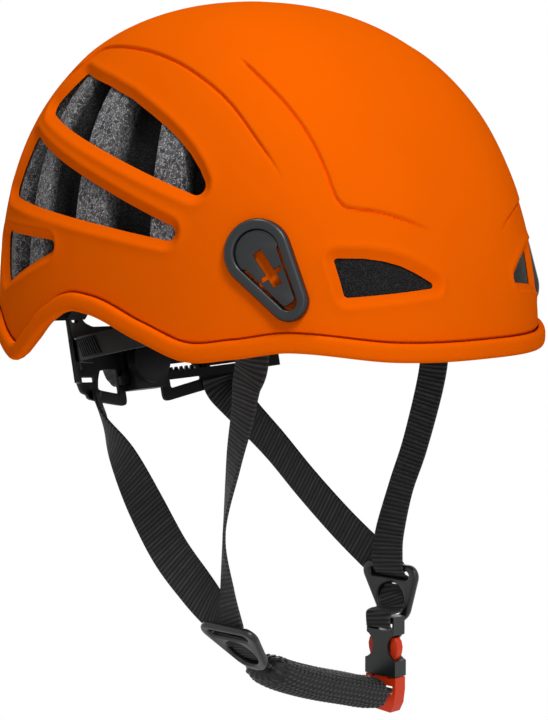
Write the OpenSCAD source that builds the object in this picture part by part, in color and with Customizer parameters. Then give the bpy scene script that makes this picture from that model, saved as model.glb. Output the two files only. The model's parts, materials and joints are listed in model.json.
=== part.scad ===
// Climbing and tree-care helmet: a vented shell over a ribbed foam liner, a ratchet
// headband that hangs inside it, and a four-point chin strap with a side-release buckle.
// Millimetres. +X is the wearer's front, +Y the wearer's left and +Z up. The origin is
// the middle of the head opening, level with the rim.

/* [Shell] */
// Reach of the shell from the origin to its front
shell_front = 151; // [140:1:165]
// Reach of the shell from the origin to its back
shell_rear = 132; // [122:1:145]
// Half the width of the shell
shell_half_width = 110; // [100:1:120]
// Height of the crown above the rim level
shell_height = 162; // [150:1:175]
// Wall of the moulded shell
shell_wall = 3; // [2.4:0.1:4]
// Roundness of the profile at the front, low values slope more
front_fullness = 1.66; // [1.5:0.02:2.2]
// Roundness of the profile at the sides
side_fullness = 3.17; // [2.6:0.01:3.6]
// Roundness of the profile at the back
rear_fullness = 2.06; // [1.8:0.02:2.6]
// Squareness of the plan outline, 2 is an ellipse
plan_power = 2.29; // [2:0.01:2.6]
// Squareness of the crown, 2 is an ellipse
dome_power = 2.16; // [2:0.01:2.5]

/* [Rim] */
// Height of the rim at the front
rim_front = -4.5; // [-8:0.1:0]
// Height of the arch over the ear
ear_arch = 14.8; // [8:0.1:20]
// Lowest point of the lobe behind the ear
lobe_drop = -12; // [-18:0.1:-6]
// Height of the rim at the nape
nape_rise = 5; // [0:0.1:10]
// Height of the rim band
band_height = 8.6; // [6:0.1:12]
// How far the band stands out from the shell
band_proud = 3.2; // [2:0.1:4.5]

/* [Liner] */
// Thickness of the foam on its ribs
liner_thick = 24; // [18:1:28]
// Depth of the air channels between the ribs
channel_depth = 11; // [6:0.5:14]
// Angle from one rib to the next
rib_pitch = 16.3; // [14:0.1:20]
// Angle that a rib takes up
rib_span = 8.8; // [6:0.1:11]

/* [Headband] */
// Radius of the band at the back of the head
band_radius = 105; // [95:1:115]
// Height of the knob axis
knob_height = -21; // [-26:0.5:-16]
// Where the knob axis meets the band, behind the origin
knob_back = 80; // [74:1:86]
// Slope of the headband, up towards the front
band_tilt = 12; // [8:0.5:16]
// Width of the front headband at the brow
brow_width = 24; // [16:1:30]
// Diameter of the adjuster knob
knob_diameter = 26; // [22:0.5:32]
// Tooth module of the rack and pinion
tooth_module = 1; // [0.8:0.05:1.2]
// Teeth on the pinion
pinion_teeth = 12; // [10:1:14]

/* [Chin strap] */
// Width of the webbing
web_width = 20; // [15:0.5:25]
// Width of the webbing under the chin and at the buckle
chin_web = 15; // [12:0.5:16]
// Thickness of the webbing
web_thick = 1.5; // [1:0.1:2]
// Width of the chin pad sleeve
pad_broad = 27; // [26.5:0.5:32]
// Thickness of the chin pad sleeve
pad_thick = 15.5; // [12:0.5:18]
// Width of the buckle
buckle_width = 20; // [20:0.5:26]
// Thickness of the buckle
buckle_thick = 8.6; // [8.6:0.2:12]
// Thickness of the strap dividers
slider_thick = 3; // [2:0.1:4]

/* [Accessory clips] */
// Radius of the upper end of the clip
clip_big = 14.5; // [12:0.1:16]
// Radius of the lower end of the clip
clip_small = 8.5; // [7:0.1:10]
// Width of the clip's raised rim
clip_rim = 4.2; // [3:0.1:5]

/* [Hidden] */
seat_gap = 0.3;
run_gap = 0.4;
liner_gap = 0.6;
fit_gap = 0.05;
columns = 72;
rows = 14;
liner_rows = 12;

// Lower edges above the rim, and where the cuts for the openings start
shell_lift = 2.4;
liner_lift = 8;
liner_level = 8;
side_cut = 30;
front_cut = 70;
band_lip = 5;
band_wall = 1.4;

// Liner ribs: the first rib's angle, and where the channels run out towards the crown
rib_first = 58.2;
channel_top = 146;
channel_fade = 30;
rib_edges = [for (k = [0:7], e = [-0.5, -0.4, 0.4, 0.5]) rib_first + rib_pitch*k + e*rib_span];
liner_half = concat([for (a = [0:7.6:50]) a], [for (a = rib_edges) if (a < 179) a]);
liner_angles = concat(liner_half, [180], [for (i = [len(liner_half) - 1:-1:1]) -liner_half[i]]);

// Half the width of the head opening, and what hangs in it: the front
// straps, the brow plugs and the cradle's wings
head_half = shell_half_width - shell_wall - liner_thick;
strap_half = 0.85*head_half - 3.55;
brow_reach = 5.45 + 0.05*head_half;
wing_out = 1.2*head_half - 37.6;

// Plugs and their sockets in the liner
plug_d = 6;
plug_deep = 8;
plug_head = 1.2;
socket_deep = 10;
socket_slack = 0.6;

// Accessory clips
seat_depth = 1.5;
clip_deep = 5.4;
tongue_low = 0.5;
tongue_thick = 1.8;
root_d = 2.6;
slot_wide = 6;
slot_long = 16;

// Ratchet: rack, pinion, housing and knob, measured in the band's own frame
pitch_r = tooth_module*pinion_teeth/2;
tooth_pitch = PI*tooth_module;
rack_thick = 2;
rack_root = pitch_r + 1.25*tooth_module;
rack_edge = rack_root + 4.3;
rack_in = band_radius - rack_thick/2;
rack_out = band_radius + rack_thick/2;
rack_teeth = 19;
rack_first = -5;
tab_end = 44;
slide_half = 1.6;
box_half = 15;
box_arc = 6.7;
cover_out = 6.5;
cradle_out = band_radius + 3.8;
shaft_d = 8;
pivot_d = 4;
screw_d = 3;
knob_out = 18;
knob_flutes = 15;

// Headband strip: its arc inside the racks' tabs and the curve round the brow
strip_thick = 1.6;
strip_width = 12;
side_r = band_radius - 2.4;
side_start = 27;
side_end = 42;
brow_x = 200;
brow_start = 60;
brow_pull = 30;
brow_bend = 1.45*head_half - 50.35;
brow_steps = 12;

// Buckle
socket_len = 30.5;
cavity_wide = buckle_width - 3;
cavity_thick = 5.4;
prong_root = [5.2, -0.2];
prong_thick = 4.2;
waist_r = 7;
waist_z = 14.8;
web_slot_z = 25.2;
base_slot_z = -7;
sleeve_slack = 0.6;

// Rim height by angle from the front, in degrees round to the nape
rim_stations = [
    [0, rim_front], [25, rim_front + 0.7], [48, rim_front + 5.1], [60, rim_front + 1.5],
    [70, rim_front - 0.5], [80, ear_arch - 11.3], [92, ear_arch], [100, ear_arch - 7.8],
    [106, lobe_drop + 8.5], [113, lobe_drop], [120, lobe_drop + 3.5],
    [130, nape_rise - 3], [150, nape_rise], [180, nape_rise]
];

// Openings as rounded corners [along, up, radius]: the sides are drawn on X and Z,
// the front on Y and Z
side_vents = [
    [[-32, 121.5, 4], [-42, 110.5, 4], [59.5, 74.5, 4], [48, 88.5, 4], [34, 98.5, 4], [7, 111.7, 4]],
    [[-57, 92, 3.5], [-66, 71, 3.5], [47.5, 52.8, 3.5]],
    [[-72, 46.5, 3], [-67, 30, 3], [-31.5, 44.5, 3]]
];
front_vent = [[68, 40.5, 2.5], [58, 40, 2.5], [47, 35.5, 2.5], [32, 30.5, 2], [67, 27.5, 2.5]];

// Plugs that carry the suspension: [angle, height, reach] on the inside of the liner
wing_plugs = [for (y = [wing_out - 1.3, wing_out - 9.6]) [plug_angle(y), 22]];
plug_spots = [[24, 30, brow_reach], each [for (w = wing_plugs) [w[0], w[1], cradle_gap(w[0], w[1]) - 1.5]],
    [61, 22, 0]];

// Strap routes: [x, y, z, turn of the webbing]. Left straps; the right ones mirror them
// with their own ends
front_left_route = [[66, strap_half, 30, 0], [64, strap_half, -5, -6], [62, strap_half - 1, -26, -10],
    [53.5, strap_half - 3, -59, -14], [47.7, 61, -81, -15], [43.8, 58, -104, -6], [43.2, 55.3, -118, 0],
    [43.2, 55.2, -128, 0]];
front_right_route = [[66, strap_half, 30, 0], [64.3, strap_half - 1, -5, -8],
    [59.6, strap_half - 2.1, -18, 6], [55.6, strap_half - 3.4, -33, 17], [48.6, 62.2, -55, 28],
    [41, 60.8, -89, 40], [42.8, 60.6, -118, 26], [46.3, 60.9, -135.6, 14]];
rear_left_route = [[-66.1, 44.6, -31.8, 64], [-66.1, 45, -36.6, 62], [-62, 45.2, -42, 38],
    [-50, 46, -49.5, 4], [-29, 49, -62, -4], [-9, 51, -79.5, -5], [12, 52.5, -98, -4],
    [30, 53.1, -115, -2], [39, 53.1, -126, 0]];
rear_right_route = [[-66.1, 44.6, -31.8, 64], [-65.9, 45.2, -36.6, 63], [-55, 47.5, -49, 40],
    [-40, 50, -65, 20], [-21.3, 52, -87, 13], [-0.3, 54, -109, 12], [18, 53.6, -121.5, 10],
    [36, 53, -134, 4]];
chin_route = [[47.5, -52.5, -144.5, 0], [47.2, -46.9, -150.7, 0], [46.6, -41.2, -156.4, 0],
    [45.8, -27.5, -163.4, 0], [45, -5, -171.4, 0], [44.8, 17.5, -178, 0], [45.2, 31, -182, 0],
    [46, 40, -184, 0], [46.5, 44.9, -188.6, 0]];

clip_angle = 54.8;
clip_height = 44.7;
clip_run = [15, -21.3];

slider_left_at = [43, 58, -134];
slider_right_at = [46, -57, -144];
slider_right_lean = 42;
buckle_at = [46.5, 50, -176];

// Helpers for curves and surfaces

function sgn(v) = v < 0 ? -1 : 1;
function powered(v, e) = sgn(v)*pow(abs(v), e);
function lerp(a, b, t) = a + (b - a)*t;
function unit(v) = v/norm(v);
function wrap(a) = a > 180 ? a - 360 : a;

function station_slope(s, i) =
    i == 0 || i == len(s) - 1 ? 0 : (s[i + 1][1] - s[i - 1][1])/(s[i + 1][0] - s[i - 1][0]);
function station_before(s, a, i = 0) =
    i >= len(s) - 2 || a <= s[i + 1][0] ? i : station_before(s, a, i + 1);
function through(s, a) =
    let (i = station_before(s, a), h = s[i + 1][0] - s[i][0], t = (a - s[i][0])/h)
    (2*t*t*t - 3*t*t + 1)*s[i][1] + (t*t*t - 2*t*t + t)*h*station_slope(s, i)
    + (3*t*t - 2*t*t*t)*s[i + 1][1] + (t*t*t - t*t)*h*station_slope(s, i + 1);

function rim_z(p) = through(rim_stations, min(180, abs(wrap(p))));

function fullness(p) =
    side_fullness + ((cos(p) >= 0 ? front_fullness : rear_fullness) - side_fullness)*pow(cos(p), 2);
function dome(p, z, h) = pow(max(0, 1 - pow(max(z, 0)/h, fullness(p))), 1/dome_power);
// A point on the surface d below the outer face of the shell
function skin(p, z, d) =
    let (k = dome(p, min(z, shell_height - d), shell_height - d))
    [((cos(p) >= 0 ? shell_front : shell_rear) - d)*powered(cos(p), 2/plan_power)*k,
     (shell_half_width - d)*powered(sin(p), 2/plan_power)*k, z];
function skin_normal(p, z, d) =
    unit(cross(skin(p + 1, z, d) - skin(p - 1, z, d), skin(p, z + 1, d) - skin(p, z - 1, d)));

// Height of the band, which keeps its width where the rim slopes
function rim_slope(p) =
    let (a = skin(p - 1.5, 0, 0), b = skin(p + 1.5, 0, 0)) (rim_z(p + 1.5) - rim_z(p - 1.5))/norm(b - a);
function band_top(p) = rim_z(p) + band_height*sqrt(1 + pow(rim_slope(p), 2));

// Closed shell between two grids of points that share their counts; each grid has
// n points a ring and ends in one point at the crown
function grid_faces(n, m, o, flip) = [
    for (j = [0:m - 1], i = [0:n - 1])
        let (a = o + j*n + i, b = o + j*n + (i + 1)%n, top = o + m*n,
             c = j == m - 1 ? top : b + n, d = j == m - 1 ? top : a + n)
        each j == m - 1 ? [flip ? [a, b, top] : [a, top, b]]
            : flip ? [[a, c, d], [a, b, c]] : [[a, d, c], [a, c, b]]
];
module dome_solid(outer, inner, n, m) {
    o2 = n*m + 1;
    base = [for (i = [0:n - 1]) let (a = i, b = (i + 1)%n)
        each [[a, b, b + o2], [a, b + o2, a + o2]]];
    polyhedron(concat(outer, inner),
        concat(grid_faces(n, m, 0, false), grid_faces(n, m, o2, true), base));
}
function row_z(z0, top, j, m) = z0 + (top - z0)*sin(90*j/m);

// Ring of sections swept round, or along an open run with its ends closed
function ring_faces(n, k) = [for (i = [0:n - 1], j = [0:k - 1])
    let (a = i*k + j, b = i*k + (j + 1)%k, c = ((i + 1)%n)*k + (j + 1)%k, d = ((i + 1)%n)*k + j)
    each [[a, b, c], [a, c, d]]];
function run_faces(n, k) = concat(
    [for (i = [0:n - 2], j = [0:k - 1])
        let (a = i*k + j, b = i*k + (j + 1)%k, c = (i + 1)*k + (j + 1)%k, d = (i + 1)*k + j)
        each [[a, b, c], [a, c, d]]],
    [[for (j = [k - 1:-1:0]) j], [for (j = [0:k - 1]) (n - 1)*k + j]]);

// Smooth route through points of any size, with a number of steps to each leg
function tangent(r, i) = (r[min(len(r) - 1, i + 1)] - r[max(0, i - 1)])/2;
function on_leg(r, i, t) =
    (2*t*t*t - 3*t*t + 1)*r[i] + (t*t*t - 2*t*t + t)*tangent(r, i)
    + (3*t*t - 2*t*t*t)*r[i + 1] + (t*t*t - t*t)*tangent(r, i + 1);
function smooth(r, steps) =
    concat([for (i = [0:len(r) - 2], s = [0:steps - 1]) on_leg(r, i, s/steps)], [r[len(r) - 1]]);
function spot(v) = [v[0], v[1], v[2]];
function heading(r, i) = unit(spot(r[min(len(r) - 1, i + 1)]) - spot(r[max(0, i - 1)]));

// Flat webbing along a route: its faces look sideways, turned by the fourth number, or
// its width lies along a given direction
module webbing(route, steps = 3, along = undef, width = web_width) {
    r = smooth(route, steps);
    n = len(r);
    points = [for (i = [0:n - 1])
        let (h = heading(r, i), side = unit(along == undef ? cross(h, [0, 1, 0]) : along - h*(along*h)),
             face = cross(side, h),
             w = (side*cos(r[i][3]) + face*sin(r[i][3]))*width/2,
             t = unit(cross(h, w))*web_thick/2, c = spot(r[i]))
        each [c + w + t, c + w - t, c - w - t, c - w + t]];
    polyhedron(points, run_faces(n, 4));
}

// Oval sleeve along a route, hollow where the webbing runs through it
function tube_faces(n, k) = let (o = n*k) concat(
    [for (i = [0:n - 2], j = [0:k - 1])
        let (a = i*k + j, b = i*k + (j + 1)%k, c = b + k, d = a + k)
        each [[a, c, b], [a, d, c], [o + a, o + b, o + c], [o + a, o + c, o + d]]],
    [for (j = [0:k - 1]) let (a = j, b = (j + 1)%k, e = (n - 1)*k)
        each [[a, o + b, o + a], [a, b, o + b],
            [e + a, o + e + a, o + e + b], [e + a, o + e + b, e + b]]]);
function clamp1(v) = max(-1, min(1, 1.6*v));
module sleeve(route, broad, thick, sides, steps) {
    r = smooth(route, steps);
    n = len(r);
    frames = [for (i = [0:n - 1])
        let (h = heading(r, i), side = unit(cross(h, [0, 0, 1])))
        [spot(r[i]), side, cross(side, h), 1 - 0.16*pow(abs(2*i/(n - 1) - 1), 4)]];
    outer = [for (f = frames, k = [0:sides - 1]) let (a = 360*k/sides)
        f[0] + f[3]*(f[1]*cos(a)*broad/2 + f[2]*sin(a)*thick/2)];
    inner = [for (f = frames, k = [0:sides - 1]) let (a = 360*k/sides)
        f[0] + f[1]*clamp1(cos(a))*(chin_web/2 + sleeve_slack)
            + f[2]*clamp1(sin(a))*(web_thick/2 + sleeve_slack)];
    polyhedron(concat(outer, inner), tube_faces(n, sides));
}

module both_sides() {
    children();
    mirror([0, 1, 0]) children();
}

// Local frame on the skin: X along the rim, Y up the shell, Z out of it
module on_skin(p, z, d) {
    n = skin_normal(p, z, d);
    x = unit(cross([0, 0, 1], n));
    y = cross(n, x);
    o = skin(p, z, d);
    multmatrix([[x[0], y[0], n[0], o[0]], [x[1], y[1], n[1], o[1]],
        [x[2], y[2], n[2], o[2]], [0, 0, 0, 1]]) children();
}

// Shell, rim and liner

module vent_cut(corners) {
    hull()
        for (c = corners)
            translate([c[0], 0, c[1]]) rotate([-90, 0, 0])
                cylinder(h = shell_half_width, r = c[2], $fn = 20);
}

module drop_2d(big, small) {
    hull() {
        circle(big, $fn = 48);
        translate(clip_run) circle(small, $fn = 32);
    }
}

module clip_seat() {
    on_skin(-clip_angle, clip_height, 0)
        translate([0, 0, -seat_depth])
            hull() {
                cylinder(h = 12, r = clip_big + seat_gap, $fn = 40);
                translate(clip_run) cylinder(h = 12, r = clip_small + seat_gap, $fn = 32);
            }
}

module outer_shell() {
    outer = concat([for (j = [0:rows - 1], i = [0:columns - 1]) let (p = wrap(360*i/columns))
        skin(p, row_z(rim_z(p) + shell_lift, shell_height, j, rows), 0)], [[0, 0, shell_height]]);
    inner = concat([for (j = [0:rows - 1], i = [0:columns - 1]) let (p = wrap(360*i/columns))
        skin(p, row_z(rim_z(p) + shell_lift, shell_height - shell_wall, j, rows), shell_wall)],
        [[0, 0, shell_height - shell_wall]]);
    color("#f26a0c")
        difference() {
            dome_solid(outer, inner, columns, rows);
            both_sides() {
                for (v = side_vents)
                    translate([0, side_cut, 0]) vent_cut(v);
                rotate([0, 0, -90]) translate([0, front_cut, 0]) vent_cut(front_vent);
                clip_seat();
            }
        }
}

module rim_band() {
    w = shell_wall + seat_gap;
    points = [for (i = [0:columns - 1])
        let (p = wrap(360*i/columns), z = rim_z(p), t = band_top(p), h = t - z)
        each [skin(p, z + band_lip, w + band_wall), skin(p, z + band_lip, w),
            skin(p, z + shell_lift - seat_gap, w), skin(p, z + shell_lift - seat_gap, -seat_gap),
            skin(p, t, -seat_gap), skin(p, t - 0.1*h, -0.62*band_proud), skin(p, t - 0.3*h, -0.95*band_proud),
            skin(p, z + 0.35*h, -band_proud), skin(p, z + 0.1*h, -0.72*band_proud), skin(p, z, 0.2),
            skin(p, z + 0.1*h, w + band_wall - 0.2)]];
    color("#f26a0c")
        polyhedron(points, ring_faces(columns, 11));
}

function on_rib(p) =
    let (a = abs(p), k = round((a - rib_first)/rib_pitch))
    a < rib_first - rib_span*0.45 || abs(a - rib_first - rib_pitch*k) < 0.45*rib_span;
function channel(p, z) = on_rib(p) ? 0 : channel_depth*min(1, max(0, (channel_top - z)/channel_fade));

function liner_low(p) = max(liner_level, rim_z(p) + liner_lift);

module liner_sockets() {
    both_sides()
        for (s = plug_spots)
            on_skin(s[0], s[1], shell_wall + liner_thick)
                hull()
                    for (x = [-socket_slack, socket_slack])
                        translate([x, 0, -socket_deep/2])
                            cylinder(h = 2*socket_deep, d = plug_d + socket_slack, $fn = 20);
}

module foam_liner() {
    n = len(liner_angles);
    m = liner_rows;
    d0 = shell_wall + liner_gap;
    d1 = shell_wall + liner_thick;
    outer = concat([for (j = [0:m - 1], p = liner_angles)
        let (z = row_z(liner_low(p), shell_height - d0, j, m)) skin(p, z, d0 + channel(p, z))],
        [[0, 0, shell_height - d0]]);
    inner = concat([for (j = [0:m - 1], p = liner_angles)
        skin(p, row_z(liner_low(p), shell_height - d1, j, m), d1)], [[0, 0, shell_height - d1]]);
    color("#2b2b2d")
        difference() {
            dome_solid(outer, inner, n, m);
            liner_sockets();
        }
}

// Angle of a rear plug that lies that far to the side, and how far the cradle is from it there
function plug_angle(y) = 180 - asin(pow(y/(0.992*head_half), plan_power/2));
function cradle_gap(p, z) =
    let (q = skin(p, z, shell_wall + liner_thick) + [knob_back, 0, -knob_height])
    norm([q[0]*cos(band_tilt) + q[2]*sin(band_tilt) - band_radius, q[1]]) - cradle_out;

module suspension_plugs() {
    color("#1d1d1f")
        both_sides()
            for (s = plug_spots)
                if (s[2] > 0)
                    on_skin(s[0], s[1], shell_wall + liner_thick)
                        translate([0, 0, -s[2]]) {
                            cylinder(h = s[2] + plug_deep, d = plug_d, $fn = 32);
                            if (s[2] > 2*plug_head)
                                cylinder(h = plug_head, d = plug_d + 2*plug_head, $fn = 32);
                        }
}

// Accessory clips

module clip_frame() {
    on_skin(-clip_angle, clip_height, 0)
        difference() {
            translate([0, 0, seat_gap - seat_depth]) linear_extrude(clip_deep) drop_2d(clip_big, clip_small);
            translate([0, 0, -seat_depth]) linear_extrude(2*clip_deep)
                drop_2d(clip_big - clip_rim, clip_small - clip_rim + run_gap + 0.2);
        }
}
module clip_tongue() {
    inner = clip_big - clip_rim - run_gap;
    lean = atan2(clip_run[0], -clip_run[1]);
    on_skin(-clip_angle, clip_height, 0) {
        difference() {
            translate([0, 0, tongue_low]) linear_extrude(tongue_thick)
                drop_2d(inner, clip_small - clip_rim + 0.2);
            rotate(lean) {
                translate([-slot_wide/2, -19, 0]) cube([slot_wide, slot_long, 4]);
                translate([-2.6, -31, 0]) cube([5.2, 5, 4]);
                translate([-7.4, -12, 0]) cube([1.4, 12, 4]);
            }
        }
        rotate(lean) translate([0, inner - root_d, tongue_low + tongue_thick/2]) rotate([0, 90, 0])
            cylinder(h = 9, d = root_d, center = true, $fn = 32);
    }
}
module clip_frame_right() {
    color("#26272a") clip_frame();
}
module clip_frame_left() {
    color("#26272a") mirror([0, 1, 0]) clip_frame();
}
module clip_tongue_right() {
    color("#1d1e20") clip_tongue();
}
module clip_tongue_left() {
    color("#1d1e20") mirror([0, 1, 0]) clip_tongue();
}

// Headband and ratchet. In the band's own frame X points forward from the knob axis,
// the back of the band is an arc about [band_radius, 0] and Z follows the tilt.

module band_frame() {
    translate([-knob_back, 0, knob_height]) rotate([0, -band_tilt, 0]) children();
}
// Part of the band's arc: angles from the back, positive to the left
module arc(r0, r1, z0, z1, a0, a1) {
    translate([band_radius, 0, 0]) rotate([0, 0, 180 - a1])
        rotate_extrude(angle = a1 - a0, $fn = 180)
            translate([r0, z0]) square([r1 - r0, z1 - z0]);
}

// Tooth of the rack, tip towards +Z, in the plane of the band
module rack_tooth() {
    flat = 0.5*tooth_pitch - 0.16;
    s = tan(20);
    m = tooth_module;
    rotate([90, 0, 90]) linear_extrude(rack_thick, center = true)
        polygon([[-flat/2 - 1.45*m*s, -1.45*m], [flat/2 + 1.45*m*s, -1.45*m],
            [flat/2 - 0.9*m*s, 0.9*m], [-flat/2 + 0.9*m*s, 0.9*m]]);
}
// Rack under the pinion with its teeth up, its tab at the left
module rack() {
    step = tooth_pitch/band_radius*180/PI;
    arc(rack_in, rack_out, -rack_edge, -rack_root, -10.4, tab_end);
    arc(rack_in, rack_out, -rack_root - 0.01, 10, tab_end - 7, tab_end);
    for (k = [0:rack_teeth - 1])
        translate([band_radius, 0, -pitch_r]) rotate([0, 0, -step*(k + rack_first)])
            translate([-band_radius, 0, 0]) rack_tooth();
}
module rack_left() {
    color("#1b1b1d") band_frame() rack();
}
module rack_right() {
    color("#1b1b1d") band_frame() rotate([180, 0, 0]) rack();
}

// Involute gear outline of the pinion
function involute(r, t) = [r*(cos(t) + t*PI/180*sin(t)), r*(sin(t) - t*PI/180*cos(t))];
function turned(v, a) = [v[0]*cos(a) - v[1]*sin(a), v[0]*sin(a) + v[1]*cos(a)];
module pinion_2d() {
    base = pitch_r*cos(20);
    tip = pitch_r + 0.9*tooth_module;
    root = pitch_r - 1.2*tooth_module;
    t_pitch = tan(20)*180/PI;
    t_tip = sqrt(pow(tip/base, 2) - 1)*180/PI;
    half = 90/pinion_teeth - 0.08/pitch_r*180/PI;
    shift = half + t_pitch - 20;
    flank = [for (k = [0:5]) involute(base, t_tip*k/5)];
    circle(root, $fn = 48);
    for (i = [0:pinion_teeth - 1])
        rotate(360/pinion_teeth*i)
            polygon(concat([[0, 0]], [for (v = flank) turned(v, -shift)],
                [for (k = [5:-1:0]) turned([flank[k][0], -flank[k][1]], shift)]));
}
module drive_pinion() {
    color("#cfcac0")
        band_frame()
            difference() {
                union() {
                    translate([-1.3, 0, 0]) rotate([90, 0, 90]) linear_extrude(2.6)
                        rotate(90 + 180/pinion_teeth) pinion_2d();
                    translate([-15, 0, 0]) rotate([0, 90, 0]) cylinder(h = 14, d = shaft_d, $fn = 48);
                    translate([1.2, 0, 0]) rotate([0, 90, 0]) cylinder(h = 3.2, d = pivot_d, $fn = 32);
                }
                translate([-16, 0, 0]) rotate([0, 90, 0]) cylinder(h = 11, d = screw_d + 2*fit_gap, $fn = 32);
            }
}

module ratchet_base() {
    color("#1a1a1c")
        band_frame()
            difference() {
                union() {
                    arc(band_radius - 5.5, band_radius - slide_half, -box_half, box_half, -box_arc, box_arc);
                    translate([3, 0, 0]) rotate([0, 90, 0]) cylinder(h = 6, d = 25, $fn = 64);
                }
                rotate([0, 90, 0]) cylinder(h = 5, d = pivot_d + 2*fit_gap, $fn = 32);
            }
}
module ratchet_cover() {
    color("#1a1a1c")
        band_frame()
            difference() {
                union() {
                    arc(band_radius + slide_half, band_radius + cover_out, -box_half, box_half,
                        -box_arc, box_arc);
                    arc(band_radius - 1.5, band_radius + 1.7, 12.2, box_half, -box_arc, box_arc);
                    arc(band_radius - 1.5, band_radius + 1.7, -box_half, -12.2, -box_arc, box_arc);
                }
                translate([-9, 0, 0]) rotate([0, 90, 0])
                    cylinder(h = 9, d = shaft_d + 2*fit_gap, $fn = 48);
            }
}
module adjuster_knob() {
    r = knob_diameter/2;
    color("#1d1d1f")
        band_frame()
            difference() {
                translate([-knob_out, 0, 0]) rotate([0, 90, 0]) {
                    translate([0, 0, 1.2]) cylinder(h = 9.8, r = r, $fn = 96);
                    cylinder(h = 1.3, r1 = r - 1.2, r2 = r, $fn = 96);
                }
                for (k = [0:knob_flutes - 1])
                    translate([-knob_out - 1, 0, 0]) rotate([0, 90, 0]) rotate(360/knob_flutes*k)
                        translate([r + 0.9, 0, 0]) cylinder(h = 9, r = 1.9, $fn = 24);
                translate([-15 - fit_gap, 0, 0]) rotate([0, 90, 0])
                    cylinder(h = 12, d = shaft_d + 2*fit_gap, $fn = 48);
                translate([-knob_out - 1, 0, 0]) rotate([0, 90, 0]) cylinder(h = 2.6, d = 7.4, $fn = 48);
                translate([-knob_out - 1, 0, 0]) rotate([0, 90, 0])
                    cylinder(h = 6, d = screw_d + run_gap, $fn = 32);
            }
}
module knob_screw() {
    color("#b9bcc0")
        band_frame()
            difference() {
                union() {
                    translate([-17.8, 0, 0]) rotate([0, 90, 0]) cylinder(h = 1.4, d = 6.8, $fn = 48);
                    translate([-16.5, 0, 0]) rotate([0, 90, 0]) cylinder(h = 10, d = screw_d, $fn = 32);
                }
                translate([-18, -0.5, -2]) cube([0.9, 1, 4]);
                translate([-18, -2, -0.5]) cube([0.9, 4, 1]);
            }
}

// Frame behind the head: drawn flat across the back, then bent to the band's arc
module cradle_half_2d() {
    difference() {
        union() {
            translate([0, 15.3]) square([wing_out, 4.2]);
            translate([13.4, -21.6]) square([5, 38]);
            polygon([[16, -3], [wing_out - 26, -3], [wing_out - 26, -14], [wing_out - 3, -14],
                [wing_out, -11], [wing_out, 18], [16, 18]]);
            translate([wing_out - 16, 14]) square([5, 31]);
            translate([wing_out - 6, 14]) square([5, 31]);
            translate([wing_out - 16, 41]) square([15, 6]);
            polygon([[13.4, -22], [15, -22], [49, -16.5], [49, -10], [44, -10], [44, -12.6], [13.4, -17.2]]);
        }
        translate([wing_out - 18, 4]) square([4, 8]);
        translate([wing_out - 11, -2]) square([7, 12]);
        translate([wing_out - 22, -9]) square([18, 2.4]);
    }
}
module rear_cradle() {
    color("#1c1c1e")
        band_frame()
            intersection() {
                arc(band_radius + slide_half, cradle_out, -23, 49, -tab_end + 3, tab_end - 3);
                rotate([90, 0, 90]) translate([0, 0, -8]) linear_extrude(60) {
                    cradle_half_2d();
                    mirror([1, 0]) cradle_half_2d();
                }
            }
}

// Front headband: lies inside the racks' tabs, then runs round the brow
function side_point(a) = [band_radius - side_r*cos(a), side_r*sin(a)];
function bezier(a, b, c, d, t) = a*pow(1 - t, 3) + 3*b*t*pow(1 - t, 2) + 3*c*t*t*(1 - t) + d*pow(t, 3);
module headband() {
    join = side_point(side_end);
    half = concat([for (a = [side_start:3:side_end - 3]) side_point(a)],
        [for (k = [0:brow_steps]) bezier(join, join + brow_pull*[sin(side_end), cos(side_end)],
            [brow_x, brow_bend], [brow_x, 0], k/brow_steps)]);
    band_path = concat(half, [for (i = [len(half) - 2:-1:0]) [half[i][0], -half[i][1]]]);
    n = len(band_path);
    points = [for (i = [0:n - 1])
        let (a = band_path[max(0, i - 1)], b = band_path[min(n - 1, i + 1)], h = unit(b - a),
             w = [-h[1], h[0]]*strip_thick/2, c = band_path[i],
             top = lerp(strip_width, brow_width, pow(max(0, (c[0] - brow_start)/(brow_x - brow_start)), 2)))
        each [[c[0] + w[0], c[1] + w[1], 0], [c[0] - w[0], c[1] - w[1], 0],
            [c[0] - w[0], c[1] - w[1], top], [c[0] + w[0], c[1] + w[1], top]]];
    color("#1f1f22")
        band_frame() polyhedron(points, run_faces(n, 4));
}

// Chin strap

module strap_anchors() {
    s = plug_spots[3];
    color("#1d1d1f")
        both_sides()
            on_skin(s[0], s[1], shell_wall + liner_thick) {
                translate([0, 0, -3.2]) cylinder(h = 2.2, d = 16, $fn = 48);
                translate([0, 0, -1.2]) cylinder(h = 9, d = plug_d, $fn = 32);
            }
}
module front_strap_right() {
    color("#232325") mirror([0, 1, 0]) webbing(front_right_route);
}
module front_strap_left() {
    color("#232325") webbing(front_left_route);
}
module rear_strap_right() {
    color("#232325") mirror([0, 1, 0]) webbing(rear_right_route);
}
module rear_strap_left() {
    color("#232325") webbing(rear_left_route);
}

// Strap divider: a rounded triangle with a slot for the two straps above an arched eye
module slider() {
    rotate([90, 0, 0])
        linear_extrude(slider_thick, center = true)
            difference() {
                hull() {
                    for (x = [-12, 12])
                        translate([x, 8]) circle(5.5, $fn = 40);
                    translate([3, -7]) circle(8, $fn = 48);
                }
                hull()
                    for (x = [-10.5, 10.5])
                        translate([x, 8.4]) circle(2.1, $fn = 24);
                translate([1.2, -4.6]) circle(8.6, $fn = 48);
            }
}
module slider_left() {
    color("#2a2b2d") translate(slider_left_at) slider();
}
module slider_right() {
    color("#2a2b2d") translate(slider_right_at) rotate([slider_right_lean, 0, 0]) slider();
}

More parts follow.
